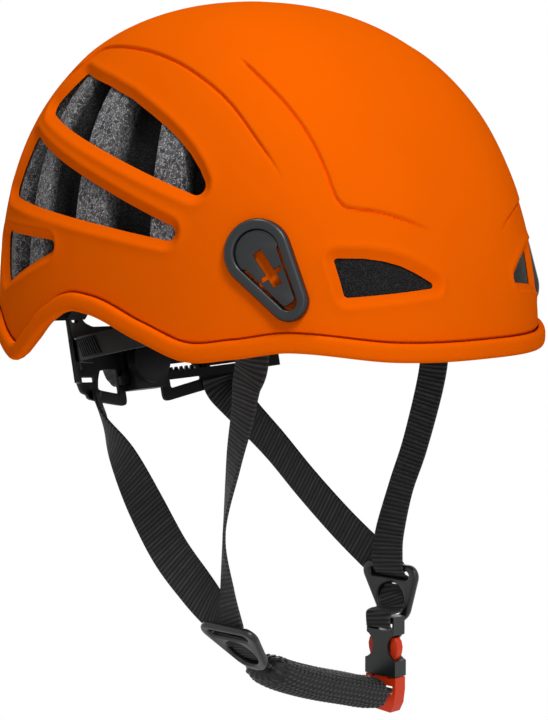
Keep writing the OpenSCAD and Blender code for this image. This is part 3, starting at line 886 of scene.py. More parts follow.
@dataclass(frozen=True)
class Vent:
    """A convex opening in the shell with round corners."""

    corners: tuple[Pair, ...]
    radius: float
    face: VentFace = VentFace.SIDE
    spacing: float = 1.5
    arc: int = 8

    def outline(self) -> Array:
        """Draw the rounded outline on its plane, counter-clockwise.

        Returns:
            The outline's points.
        """
        c = np.array(self.corners)
        n = np.roll(c, -1, axis=0)
        if (c[:, 0] * n[:, 1] - n[:, 0] * c[:, 1]).sum() < 0:
            c = c[::-1]
        arcs = []
        for i, here in enumerate(c):
            into, out = here - c[i - 1], c[(i + 1) % len(c)] - here
            a = math.atan2(-into[0], into[1])
            sweep = (math.atan2(-out[0], out[1]) - a) % (2 * math.pi)
            arcs.append(here + on_circle(self.radius, np.linspace(a, a + sweep, self.arc)))
        line = np.vstack([*arcs, arcs[0][:1]])
        legs = []
        for start, step in zip(line, np.diff(line, axis=0)):
            count = max(2, int(np.linalg.norm(step) / self.spacing) + 1)
            legs.append(start + step * np.linspace(0, 1, count)[:-1, None])
        return np.vstack(legs)

    def axis(self) -> int:
        """The first axis of its plane."""
        return 0 if self.face is VentFace.SIDE else 1

    def lifted(self, form: ShellForm) -> Array:
        """Lay the outline on the shell's left side.

        Args:
            form: The shell's form.

        Returns:
            The laid outline's points.
        """
        flat = self.outline()
        on_side = self.face is VentFace.SIDE
        low, high = np.zeros(len(flat)), np.full(len(flat), 180.0 if on_side else 80.0)
        for _ in range(40):
            middle = (low + high) / 2
            at = form.skin(middle, flat[:, 1], 0.0)[:, self.axis()]
            before = at > flat[:, 0] if on_side else at < flat[:, 0]
            low, high = np.where(before, middle, low), np.where(before, high, middle)
        return form.skin(low, flat[:, 1], 0.0)

    def holds(self, points: Array) -> Array:
        """Find which points of the shell lie in the opening.

        Args:
            points: Points folded to the left side.

        Returns:
            Whether each point lies in it.
        """
        flat = np.stack([points[:, self.axis()], points[:, 2]], -1)
        line = self.outline()
        step = np.roll(line, -1, axis=0) - line
        away = flat[:, None, :] - line[None]
        inside = (step[None, :, 0] * away[..., 1] - step[None, :, 1] * away[..., 0] >= 0).all(1)
        return inside & (points[:, 0] > 0 if self.face is VentFace.FRONT else True)


@dataclass(frozen=True)
class Ridge:
    """A line on the shell along which the centre stands above the side."""

    points: tuple[Spot, ...]
    rise: float
    fade_in: float = 0.12
    fade_out: float = 0.2
    reach: float = 26.0
    sharp: float = 0.65
    groove: float = 1.1

    def lifted(self, form: ShellForm) -> Array:
        """The line laid on the shell's left side."""
        line = smooth_route([(x, abs(y), z) for x, y, z in self.points], 8)
        return form.skin(form.angle(line), line[:, 2], 0.0)

    def height(self, points: Array, normals: Array, line: Array) -> Array:
        """Find how far the ridge raises points of the shell.

        Args:
            points: Points folded to the left side.
            normals: The shell's outward direction at each.
            line: The ridge's line, laid on the shell.

        Returns:
            The rise at each point.
        """
        distance, share, step, way = nearest_on(points, line, False)
        side = (np.cross(way, normals) * step).sum(1)
        d = distance * np.sign(side)
        ends = smoothstep(0, self.fade_in, share) * smoothstep(0, self.fade_out, 1 - share)
        fall = np.exp(-((np.maximum(d, 0) / self.reach) ** 2))
        crest = smoothstep(-self.sharp, self.sharp * 0.8, d) * fall
        dip = np.exp(-(((d + self.sharp * 1.2) / (self.sharp * 0.9)) ** 2))
        return ends * (self.rise * crest - self.groove * dip)


# Corners of the vents on their plane, and points of the ridges on the left side
SIDE_VENTS = (
    Vent(((-37, 123.8), (-50, 111.6), (60, 74.2), (56.5, 79.6), (50.5, 86.2), (43, 92.4), (34, 98.2),
          (23, 104), (8, 111), (-12, 117.6)), 4.0),
    Vent(((-62, 93.4), (-74, 70.6), (47.5, 52.8)), 3.5),
    Vent(((-81, 47), (-76, 28.6), (-31.5, 44.5)), 3.0),
)
FRONT_VENT = Vent(
    ((69.3, 41.4), (60, 41.3), (52, 40), (45, 37.9), (38, 34.4), (31.2, 30.3), (67.6, 26.8)),
    1.5,
    VentFace.FRONT,
)
SIDE_RIDGE = Ridge(
    ((-60, 64, 122), (-48, 70, 130), (-33, 66, 138.6), (-3, 72, 137.6), (26.6, 77, 131), (50, 79.6, 121),
     (67, 80.6, 110), (83, 81, 94.5), (93, 80, 83), (99, 79.4, 74)),
    0.8,
    fade_out=0.14,
)
PANEL_RIDGE = Ridge(
    ((55, 66, 133.1), (70.9, 67.5, 123.3), (86.7, 66.8, 111), (98.9, 65.8, 98.3), (107.9, 65.1, 85),
     (114.7, 65.1, 72), (117.2, 64.2, 67.8), (120, 61.6, 65.2), (127, 50.5, 63.3), (132.8, 38.6, 59.7),
     (136.3, 28.9, 55.6), (138.6, 21.5, 51.6)),
    0.8,
    fade_in=0.08,
    fade_out=0.13,
)

# Angle and height of the accessory clip's upper circle, and the way from it to the lower one
CLIP_AT = (54.8, 44.7)
CLIP_RUN = (15.0, -21.3)


@dataclass
class OuterShell:
    """The moulded shell with its vents, their turned-in lips, and its ridges."""

    form: ShellForm
    columns: int = 384
    rows: int = 104
    least_columns: int = 24
    refined: tuple[float, ...] = (7.5, 3.6)
    lip_width: float = 4.7
    lip_depth: float = 2.8
    lip_bead: float = 0.55
    lip_bead_width: float = 2.2
    seam_depth: float = 1.7
    seam_blend: Pair = (-0.1, 1.1)
    seat_depth: float = 2.3
    seat_radii: Pair = (8.6, 3.6)
    seat_blend: float = 1.2
    seat_reach: float = 20.0
    crease: float = 50.0
    vents: tuple[Vent, ...] = SIDE_VENTS + (FRONT_VENT,)
    ridges: tuple[Ridge, ...] = (SIDE_RIDGE, PANEL_RIDGE)
    lines: list[Array] = field(default_factory=list)

    def flat_grid(self) -> bmesh.types.BMesh:
        """Draw the grid on angle and share of height, with fewer columns towards the crown.

        Returns:
            The flat grid.
        """
        bm = bmesh.new()
        counts, rows = [], []
        for j in range(self.rows + 1):
            w = j / self.rows
            girth = max(math.cos(math.pi / 2 * w), 1e-6) ** 0.93
            halvings = int(max(0.0, math.log2(0.85 / girth)))
            counts.append(max(self.least_columns, self.columns >> min(halvings, 10)))
            steps = np.linspace(-180, 180, counts[-1] + 1)
            rows.append([bm.verts.new((p, w, 0)) for p in steps])
        for j in range(self.rows):
            a, b = rows[j], rows[j + 1]
            if counts[j] == counts[j + 1]:
                for i in range(counts[j]):
                    bm.faces.new((a[i], a[i + 1], b[i + 1], b[i]))
                continue
            for i in range(counts[j + 1]):
                bm.faces.new((a[2 * i], a[2 * i + 1], b[i]))
                bm.faces.new((a[2 * i + 1], b[i + 1], b[i]))
                bm.faces.new((a[2 * i + 1], a[2 * i + 2], b[i + 1]))
        return bm

    @staticmethod
    def folded(points: Array) -> Array:
        """Points carried to the left side."""
        return np.stack([points[:, 0], np.abs(points[:, 1]), points[:, 2]], -1)

    def refine(self, bm: bmesh.types.BMesh, reach: float) -> None:
        """Halve the grid near vents, ridges and the seam above the rim band.

        Args:
            bm: The flat grid.
            reach: How near a face has to be.
        """
        bm.faces.ensure_lookup_table()
        middles = np.array([f.calc_center_median()[:2] for f in bm.faces])
        plain = self.form.sheet(middles[:, 0], middles[:, 1])
        near = np.abs(plain[:, 2] - self.form.band_top(middles[:, 0]) - 0.5)
        for k, line in enumerate(self.lines):
            near = np.minimum(near, nearest_on(self.folded(plain), line, k < len(self.vents))[0])
        edges = {e for f, d in zip(bm.faces, near) if d < reach for e in f.edges}
        bmesh.ops.subdivide_edges(bm, edges=list(edges), cuts=1, use_grid_fill=True)

    def joined(self, bm: bmesh.types.BMesh) -> tuple[Array, Faces]:
        """Close the grid at the back and at the crown.

        Args:
            bm: The flat grid.

        Returns:
            Angle and share of height of each point, and the faces.
        """
        bm.verts.index_update()
        flat = np.array([v.co[:2] for v in bm.verts])
        seam = {round(w, 6): i for i, (p, w) in enumerate(flat) if p < -179.999}
        crown = int(np.argmax(flat[:, 1]))
        target = np.arange(len(flat))
        for i, (p, w) in enumerate(flat):
            if w > 0.99999:
                target[i] = crown
            elif p > 179.999:
                target[i] = seam[round(w, 6)]
        faces = []
        for f in bm.faces:
            ring = list(dict.fromkeys(int(target[v.index]) for v in f.verts))
            if len(ring) > 2:
                faces.append(tuple(ring))
        return flat, faces

    def cut(self, places: Array, faces: Faces) -> tuple[Array, Faces]:
        """Open the vents and bring the cut edges onto their outlines.

        Args:
            places: Points of the plain shell, which are moved.
            faces: Its faces.

        Returns:
            The moved points and the faces that stay.
        """
        middles = self.folded(np.array([places[list(f)].mean(0) for f in faces]))
        gone = np.zeros(len(faces), bool)
        for vent in self.vents:
            gone |= vent.holds(middles)
        kept = [f for f, out in zip(faces, gone) if not out]
        opened = {i for f, out in zip(faces, gone) if out for i in f} & {i for f in kept for i in f}
        edge = np.array(sorted(opened))
        side = np.where(places[edge, 1] < 0, -1.0, 1.0)
        here = self.folded(places[edge])
        best = np.full(len(edge), np.inf)
        moved = here.copy()
        for line in self.lines[: len(self.vents)]:
            distance, _, step, _ = nearest_on(here, line, True)
            closer = distance < best
            moved[closer] = (here - step)[closer]
            best = np.minimum(best, distance)
        moved[:, 1] *= side
        places[edge] = moved
        return places, kept

    def seat(self, here: Array) -> Array:
        """Find how deep the pocket behind the accessory clip is.

        Args:
            here: Points folded to the left side.

        Returns:
            The depth at each point.
        """
        axes, origin = self.form.on_skin(-CLIP_AT[0], CLIP_AT[1])
        local = (here * np.array([1, -1, 1]) - origin) @ axes
        run = np.array(CLIP_RUN)
        along = np.clip(local[:, :2] @ run / (run @ run), 0, 1)
        away = np.linalg.norm(local[:, :2] - along[:, None] * run, axis=1)
        radius = self.seat_radii[0] + (self.seat_radii[1] - self.seat_radii[0]) * along
        near = np.abs(local[:, 2]) < self.seat_reach
        share = 1 - smoothstep(-self.seat_blend, self.seat_blend, away - radius)
        return np.where(near, self.seat_depth * share, 0.0)

    def relief(self, places: Array, normals: Array, p: Array) -> Array:
        """Find how far the finished surface stands out from the plain form.

        Args:
            places: Points of the plain shell.
            normals: Its outward direction at each.
            p: Their angles from the front.

        Returns:
            The rise at each point.
        """
        here = self.folded(places)
        out = normals.copy()
        out[places[:, 1] < 0, 1] *= -1
        rise = np.zeros(len(p))
        for ridge, line in zip(self.ridges, self.lines[len(self.vents):]):
            rise += ridge.height(here, out, line)
        lip = np.full(len(p), np.inf)
        for line in self.lines[: len(self.vents)]:
            lip = np.minimum(lip, nearest_on(here, line, True)[0])
        turn = np.clip(1 - lip / self.lip_width, 0, 1)
        bead = self.lip_bead * np.exp(-(((lip - self.lip_width) / self.lip_bead_width) ** 2))
        rise = rise * smoothstep(0, 2 * self.lip_width, lip) - self.lip_depth * turn + bead
        above = places[:, 2] - self.form.band_top(p)
        return rise - self.seat(here) - self.seam_depth * (1 - smoothstep(*self.seam_blend, above))

    def build(self) -> bpy.types.Object:
        """Make the shell.

        Returns:
            The shell.
        """
        self.lines = [drawn.lifted(self.form) for drawn in self.vents + self.ridges]
        bm = self.flat_grid()
        for reach in self.refined:
            self.refine(bm, reach)
        flat, faces = self.joined(bm)
        bm.free()
        p, w = flat[:, 0], flat[:, 1]
        normals = self.form.sheet_normal(p, w)
        places, faces = self.cut(self.form.sheet(p, w), faces)
        p = self.form.angle(places)
        outer = places + normals * self.relief(places, normals, p)[:, None]
        inner = places - normals * self.form.wall
        count = len(places)
        sides = dict.fromkeys(side for f in faces for side in zip(f, f[1:] + f[:1]))
        walls = [(b, a, a + count, b + count) for a, b in sides if (b, a) not in sides]
        backs = [tuple(i + count for i in reversed(f)) for f in faces]
        obj = new_mesh("shell", np.vstack([outer, inner]), faces + walls + backs, self.crease)
        loose = bmesh.new()
        loose.from_mesh(obj.data)
        bmesh.ops.delete(loose, geom=[v for v in loose.verts if not v.link_faces], context="VERTS")
        loose.to_mesh(obj.data)
        loose.free()
        return obj


@dataclass
class RimBand:
    """The rolled band that covers the shell's lower edge."""

    form: ShellForm
    proud: float = 3.4
    gap: float = 0.3
    tail: float = 5.0
    tail_thick: float = 1.4
    fullness: Pair = (0.62, 0.72)
    columns: int = 400
    roll: int = 16
    crease: float = 45.0

    def build(self) -> bpy.types.Object:
        """Make the band.

        Returns:
            The band.
        """
        p = np.linspace(-180, 180, self.columns, endpoint=False)
        z, top = self.form.rim(p), self.form.band_top(p)
        h = top - z
        inside = self.form.wall + self.gap
        under = z + self.form.shell_lift - self.gap
        rows = [
            (z + self.tail, inside + self.tail_thick),
            (z + self.tail, inside),
            (under, inside),
            (under, -self.gap),
            (top - 0.4, -self.gap),
        ]
        for a in np.linspace(0, math.pi, self.roll + 1):
            bulge = max(0.0, math.sin(a)) ** self.fullness[0]
            lean = 0.5 + 0.5 * powered(np.array(math.cos(a)), self.fullness[1])
            rows.append((z + h * lean, -self.gap - (self.proud - self.gap) * bulge))
        rows += [(z + 0.1 * h, inside * 0.55), (z + 0.35 * h, inside + 1.0)]
        rings = np.stack([self.form.skin(p, zz, dd) for zz, dd in rows], 1)
        faces = ring_faces(self.columns, len(rows), True)
        return new_mesh("rim_roll", rings.reshape(-1, 3), faces, self.crease)


@dataclass
class FoamLiner:
    """The bead foam liner with its ribs and air channels."""

    form: ShellForm
    gap: float = 0.6
    thick: float = 24.0
    channel: float = 11.0
    pitch: float = 16.3
    span: float = 7.2
    first: float = 59.0
    edge: float = 0.45
    lift: float = 8.0
    level: float = 8.0
    channel_top: float = 146.0
    channel_fade: float = 30.0
    soft_edge: float = 2.5
    columns: int = 720
    rows: int = 64
    crease: float = 40.0

    def hollow(self, p: Array) -> Array:
        """Find how far angles lie in an air channel.

        Args:
            p: Angles from the front.

        Returns:
            From 0 on a rib to 1 in a channel.
        """
        a = np.abs(p)
        k = np.round((a - self.first) / self.pitch)
        off = np.abs(a - self.first - self.pitch * k)
        between = smoothstep(self.span / 2 - self.edge, self.span / 2 + self.edge * 0.4, off)
        return np.where(a < self.first, 0.0, between)

    def depth(self, p: Array, z: Array) -> Array:
        """Depth of the air channels at angles and heights."""
        fade = np.clip((self.channel_top - z) / self.channel_fade, 0, 1)
        return self.channel * self.hollow(p) * fade

    def build(self) -> bpy.types.Object:
        """Make the liner.

        Returns:
            The liner.
        """
        p = np.tile(np.linspace(-180, 180, self.columns, endpoint=False), self.rows)
        w = np.repeat(np.linspace(0, 1, self.rows, endpoint=False), self.columns)
        face = self.form.wall + self.gap
        back = self.form.wall + self.thick
        low = np.maximum(self.level, self.form.rim(p) + self.lift)
        z = self.form.climb(low, w, face)
        soft = self.soft_edge * (1 - smoothstep(0, 0.03, w))
        outer = self.form.skin(p, z, face + np.maximum(self.depth(p, z), soft))
        inner = self.form.skin(p, self.form.climb(low, w, back), back - soft)
        count = self.columns * self.rows
        crowns = [[0, 0, self.form.height - face], [0, 0, self.form.height - back]]
        faces = ring_faces(self.rows, self.columns, False)
        last, top = count - self.columns, 2 * count
        pairs = [(i, (i + 1) % self.columns) for i in range(self.columns)]
        faces += [(last + i, last + j, top) for i, j in pairs]
        under = [tuple(k + (1 if k == top else count) for k in reversed(f)) for f in faces]
        hem = [(j, i, i + count, j + count) for i, j in pairs]
        points = np.vstack([outer, inner, crowns])
        obj = new_mesh("liner", points, faces + under + hem, self.crease)
        # Rib mask: 1 on the ribs, 0 in the channels and at the front, where the foam finish paints
        # near-black shade.
        behind_first = smoothstep(self.first - 5, self.first - 3, np.abs(p))
        rib = (1 - smoothstep(0.05, 0.4, self.hollow(p))) * behind_first
        store(obj, "rib", np.concatenate([rib, np.zeros(count + 2)]))
        return obj


@dataclass
class AccessoryClip:
    """A teardrop clip on the shell for a visor or ear-muff arm."""

    form: ShellForm
    side: Side
    big: float = 15.4
    small: float = 9.0
    rim: float = 5.4
    seat: float = -1.2
    edge: float = 0.9
    crown: float = 3.3
    outer_round: float = 1.9
    inner_round: Pair = (1.2, 0.7)
    inner_step: float = 0.5
    step_foot: Pair = (0.3, 1.6)
    plate: Pair = (0.3, 1.6)
    plate_edge: float = 0.25
    hinge: float = -3.4
    slit: float = 1.25
    corner: float = 1.0
    slot: tuple[Pair, ...] = (
        (2.3, 0.4), (2.3, -10.6), (5.6, -10.6), (5.6, -12.6), (2.3, -12.6), (2.3, -17.4),
    )
    crease: float = 40.0

    def teardrop(self, inset: float) -> Array:
        """Draw the clip's outline.

        Args:
            inset: How far in from its outer edge.

        Returns:
            The outline's points.
        """
        big, small = self.big - inset, self.small - inset
        way = math.atan2(CLIP_RUN[1], CLIP_RUN[0])
        lean = math.acos((big - small) / math.hypot(*CLIP_RUN))
        head = on_circle(big, np.linspace(way + lean, way + 2 * math.pi - lean, 72))
        foot = on_circle(small, np.linspace(way - lean, way + lean, 48)) + np.array(CLIP_RUN)
        gap = np.linspace(0, 1, 22)[1:-1, None]
        down = head[-1] + (foot[0] - head[-1]) * gap
        up = foot[-1] + (head[0] - foot[-1]) * gap
        return np.vstack([head, down, foot, up])

    def placed(self, local: Array) -> Array:
        """Carry points of the clip's own frame to the shell.

        Args:
            local: The points, one row each.

        Returns:
            The carried points.
        """
        axes, origin = self.form.on_skin(-CLIP_AT[0], CLIP_AT[1])
        points = local @ axes.T + origin
        points[:, 1] *= -self.side.value
        return points

    def tongue(self) -> bpy.types.Object:
        """Make the sprung tongue: a slotted plate that hangs from its round upper end.

        Returns:
            The tongue.
        """
        reach = math.hypot(*CLIP_RUN)
        hole_big, hole_small = self.big - self.rim + 0.2, self.small - self.rim + 1.0
        slope = math.asin((hole_big - hole_small) / reach)
        half = hole_big / math.cos(slope) - self.slit
        top = on_circle(hole_big, np.radians(np.linspace(-14, 194, 40)))
        foot = -reach - 1.2
        near, far = (half + y * math.tan(slope) for y in (self.hinge, foot))
        right = [(far - self.corner, foot), (far, foot + self.corner), (near, self.hinge)]
        lower = [(-x, y) for x, y in reversed(right)] + right
        slot = [(-x, y) for x, y in self.slot] + list(reversed(self.slot))
        lean = math.atan2(CLIP_RUN[0], -CLIP_RUN[1])
        turn = np.array([[math.cos(lean), math.sin(lean)], [-math.sin(lean), math.cos(lean)]])
        outer, hole = np.vstack([top, lower]) @ turn, np.array(slot) @ turn
        plate = Plate(f"clip_tongue_{self.side.word}_plate", outer, (hole,), *self.plate, self.plate_edge)
        return plate.build(self.placed, self.side is Side.LEFT)

    def build(self) -> bpy.types.Object:
        """Make the clip's raised frame: a rounded roll with a step down to the tongue.

        Returns:
            The frame.
        """
        profile = [(0.0, self.seat), (0.0, self.edge)]
        for a in np.linspace(0, math.pi / 2, 9):
            inset = self.outer_round * (1 - math.cos(a))
            profile.append((inset, self.edge + (self.crown - self.edge) * math.sin(a)))
        wide, deep = self.inner_round
        for a in np.linspace(0, math.pi / 2, 7)[1:]:
            inset = self.rim - self.inner_step - wide * (1 - math.sin(a))
            profile.append((inset, self.crown - deep * (1 - math.cos(a))))
        profile += [(self.rim - self.step_foot[0], self.step_foot[1]), (self.rim, self.seat)]
        outlines = [self.teardrop(inset) for inset, _ in profile]
        heights = np.repeat([z for _, z in profile], len(outlines[0]))
        faces = turned(ring_faces(len(profile), len(outlines[0]), True), self.side)
        points = self.placed(np.column_stack([np.vstack(outlines), heights]))
        return new_mesh(f"clip_roll_{self.side.word}", points, faces, self.crease)


# Straps


@dataclass
class Strap:
    """A flat tape with rounded edges, laid along a route."""

    name: str
    route: Sequence[Sequence[float]]
    side: Side = Side.LEFT
    width: float = 20.0
    thick: float = 1.5
    along: Spot | None = None
    spacing: float = 0.8
    lanes: int = 9
    crease: float = 60.0

    def line(self) -> Array:
        """Space points evenly along the route.

        Returns:
            Place and turn of each point.
        """
        dense = smooth_route(self.route, 24)
        run = run_along(dense[:, :3])
        return read_along(dense, run, np.linspace(0, run[-1], int(run[-1] / self.spacing) + 1))

    def section(self) -> Array:
        """Draw the outline of the tape's cross section.

        Returns:
            How far each point lies across and deep.
        """
        rounded = rounded_box(self.width, self.thick, self.thick * 0.45, 3)
        lanes = np.linspace(-0.46, 0.46, self.lanes) * self.width
        face = np.full(self.lanes, self.thick / 2)
        right = rounded[rounded[:, 0] > self.width * 0.47]
        left = rounded[rounded[:, 0] < -self.width * 0.47]
        return np.vstack([
            right[np.argsort(right[:, 1])],
            np.stack([lanes[::-1], face], -1),
            left[np.argsort(-left[:, 1])],
            np.stack([lanes, -face], -1),
        ])

    def build(self) -> bpy.types.Object:
        """Make the tape.

        Returns:
            The tape.
        """
        line = self.line()
        spots = line[:, :3]
        turn = np.radians(line[:, 3])[:, None] if line.shape[1] > 3 else np.zeros((len(line), 1))
        head = unit(np.gradient(spots, axis=0))
        if self.along is None:
            flat = unit(np.cross(head, [0, 1, 0]))
        else:
            lay = np.array(self.along)
            flat = unit(lay - head * (head @ lay)[:, None])
        face = np.cross(flat, head)
        wide = flat * np.cos(turn) + face * np.sin(turn)
        deep = unit(np.cross(head, wide))
        section = self.section()
        across, depth = section[None, :, :1], section[None, :, 1:]
        points = (spots[:, None] + wide[:, None] * across + deep[:, None] * depth).reshape(-1, 3)
        points[:, 1] *= self.side.value
        faces = turned(ring_faces(len(line), len(section), False, True), self.side)
        obj = new_mesh(self.name, points, faces, self.crease)
        store(obj, "along", np.repeat(run_along(spots), len(section)))
        store(obj, "across", np.tile(section[:, 0], len(line)))
        store(obj, "edge", np.tile(np.abs(section[:, 0]) / (self.width / 2), len(line)))
        return obj


# Routes of the straps, as X, Y and Z with the tape's turn in degrees where it has one
FRONT_LEFT = ((66, 67, 30, 0), (64, 67, -5, -6), (62, 66, -26, -10), (53.5, 64, -59, -14),
              (47.7, 60, -81, -15), (43.8, 56, -104, -6), (43.2, 54.9, -117, 0), (43.2, 55.2, -122, 0),
              (43.2, 57.4, -125.6, 0), (43.2, 60, -127.2, 0), (43.2, 61.4, -131, 0))
FRONT_RIGHT = ((66, 67, 30, 0), (64.3, 66, -5, -4), (59.6, 64.9, -18, 7), (55.6, 63.6, -33, 16),
               (48.6, 62.2, -55, 28), (41, 60.8, -89, 46), (42.8, 60.6, -118, 28),
               (46.3, 60.9, -135.6, 14))
REAR_LEFT = ((-66.1, 44.6, -31.8, 64), (-64.5, 45, -36.5, 48), (-58, 45.3, -42, 22), (-47, 46, -51, 3),
             (-29, 48.5, -66, -4), (-9, 50.5, -84, -5), (12, 53.4, -102, -4), (28, 58, -116, -2),
             (37, 62, -124, 0), (42, 63, -130, 0))
REAR_RIGHT = ((-71.4, 37.2, -34.2, 46), (-69.6, 39.2, -38.4, 45), (-56.2, 47.9, -49, 34),
              (-40, 50, -65, 0), (-21.3, 52, -86.6, -22), (-3, 53.8, -106, -26), (15.4, 54.4, -121, -18),
              (29, 56.2, -129.4, -6), (39, 58.4, -133.4, 0), (46, 59.7, -135, 0))
CHIN = ((45.2, -60.5, -135.7), (45.2, -57, -141.3), (45.2, -53.1, -145.9), (45.6, -49, -150.3),
        (46.6, -41.2, -156.4), (45.8, -27.5, -163.4), (45, -5, -171.4), (44.8, 17.5, -178),
        (45.2, 31, -182), (46, 41.4, -183.8), (46.5, 48.5, -183))
SLEEVE = CHIN[4:10]
BUCKLE_TOP = -145.5
BUCKLE_WEB = ((43, 60.2, BUCKLE_TOP + 14), (43.2, 59.4, BUCKLE_TOP + 10.6), (44.2, 58, BUCKLE_TOP + 7.4),
              (45.2, 56.8, BUCKLE_TOP + 4.8), (46, 55, BUCKLE_TOP + 3), (46, 51.4, BUCKLE_TOP + 2.1),
              (46, 47.6, BUCKLE_TOP + 2), (46.4, 44.35, BUCKLE_TOP + 0.6), (46.5, 44.55, BUCKLE_TOP - 5.6))
CHIN_WEB = 15.9


@dataclass
class ChinSleeve:
    """The knitted sleeve on the chin strap, gathered at its right end."""

    route: Sequence[Spot]
    broad: float = 27.0
    thick: float = 16.0
    stitch_long: float = 3.2
    stitch_round: float = 2.3
    stitch_lean: float = 0.16
    relief: float = 0.75
    cuff: float = 6.0
    cuff_depth: float = 0.9
    squareness: float = 2.4
    end_round: float = 2.6
    rings: int = 300
    sides: int = 190

    def stitches(self, even: Array, girth: Array) -> Array:
        """Draw the rows of knitted loops.

        Args:
            even: Length along the sleeve of each ring.
            girth: Length round the sleeve of each point on a ring.

        Returns:
            How far each point of each ring is raised, from 0 to 1.
        """
        lanes = round((girth[-1] + 0.5) / self.stitch_round)
        v = girth[None] / girth[-1] * lanes * 0.999
        u = even[:, None] / self.stitch_long + 0.5 * (np.floor(v) % 2)
        lean = self.stitch_lean * np.sin(2 * np.pi * (v - np.floor(v)))
        off_u, off_v = (u + lean) % 1 - 0.5, v % 1 - 0.5
        loop = np.exp(-((off_u / 0.34) ** 4) - (off_v / 0.3) ** 2)
        gather = 0.5 + 0.5 * np.cos(np.pi * v + 0.5 * np.sin(even[:, None]))
        in_cuff = self.in_cuff(even)
        return loop * (1 - in_cuff) + gather * in_cuff

    def in_cuff(self, even: Array) -> Array:
        """How far rings at lengths along the sleeve belong to its gathered end."""
        return (1 - smoothstep(self.cuff - 1, self.cuff + 1, even))[:, None]

    def build(self) -> bpy.types.Object:
        """Make the sleeve as a closed tube with its stitches raised.

        Returns:
            The sleeve.
        """
        dense = smooth_route(self.route, 40)
        run = run_along(dense)
        even = np.linspace(0, run[-1], self.rings)
        spots = read_along(dense, run, even)
        head = unit(np.gradient(spots, axis=0))
        flat = unit(np.cross(head, [0, 0, 1]))
        up = np.cross(flat, head)
        share = even / run[-1]
        waist = 1 - 0.1 * (1 - share) ** 6 - 0.06 * share**8
        round_way = on_circle(1.0, np.linspace(0, 2 * np.pi, self.sides, endpoint=False))
        oval = powered(round_way, 2 / self.squareness) * np.array([self.broad, self.thick]) / 2
        in_cuff = self.in_cuff(even)
        stitch = self.stitches(even, run_along(oval))
        lift = self.relief * (stitch - 0.5) - self.cuff_depth * in_cuff
        section = oval[None] * waist[:, None, None] + unit(oval)[None] * lift[..., None]
        ends = np.minimum(even, run[-1] - even)
        tuck = np.sqrt(np.clip(ends / self.end_round, 0.02, 1))[:, None, None]
        section = section * (0.6 + 0.4 * tuck)
        points = spots[:, None] + flat[:, None] * section[..., :1] + up[:, None] * section[..., 1:]
        faces = ring_faces(self.rings, self.sides, False, True)
        obj = new_mesh("chin_sleeve", points.reshape(-1, 3), faces)
        # Stitch heights feed the knit's painted highlight, which is weaker on the gathered end.
        store(obj, "stitch", (stitch * (1 - 0.8 * in_cuff)).reshape(-1))
        return obj


# The suspension's frame and the strap dividers


@dataclass
class Divider:
    """A strap divider: a thick ring round an eye, below a bar with a slot."""

    name: str
    at: Spot
    lean: float = 0.0
    thick: float = 3.6
    edge: float = 1.3
    body: tuple[Spot, ...] = ((-12, 8, 5.8), (12, 8, 5.8), (2.2, -6, 11.4))
    slot: tuple[Spot, ...] = ((-10.5, 8.4, 2.1), (10.5, 8.4, 2.1))
    eye: tuple[Spot, ...] = ((1.2, -4.6, 8.6),)

    def placed(self, local: Array) -> Array:
        """Carry points of the divider's own frame to the strap.

        Args:
            local: The points, one row each.

        Returns:
            The carried points.
        """
        u, v, t = local.T
        c, s = math.cos(math.radians(self.lean)), math.sin(math.radians(self.lean))
        return np.stack([u, -t * c - v * s, v * c - t * s], -1) + np.array(self.at)

    def build(self) -> bpy.types.Object:
        """Make the divider.

        Returns:
            The divider.
        """
        holes = (round_hull(self.slot, 40), round_hull(self.eye, 56))
        half = self.thick / 2
        return Plate(self.name, round_hull(self.body), holes, -half, half, self.edge).build(self.placed)


@dataclass
class BandFrame:
    """The tilted frame of the band behind the head, whose back is an arc."""

    back: float = 80.0
    height: float = -21.0
    tilt: float = 12.0
    radius: float = 105.0

    def tilted(self, local: Array) -> Array:
        """Carry points of the band's frame to the helmet.

        Args:
            local: The points, one row each.

        Returns:
            The carried points.
        """
        x, y, z = local.T
        c, s = math.cos(math.radians(self.tilt)), math.sin(math.radians(self.tilt))
        return np.stack([x * c - z * s - self.back, y, x * s + z * c + self.height], -1)

    def bent(self, local: Array) -> Array:
        """Bend flat points to the arc and carry them to the helmet.

        Args:
            local: How far each point lies across, up and out of the arc.

        Returns:
            The carried points.
        """
        u, v, t = local.T
        x = self.radius - np.sqrt((self.radius + t) ** 2 - u**2)
        return self.tilted(np.stack([x, u, v], -1))


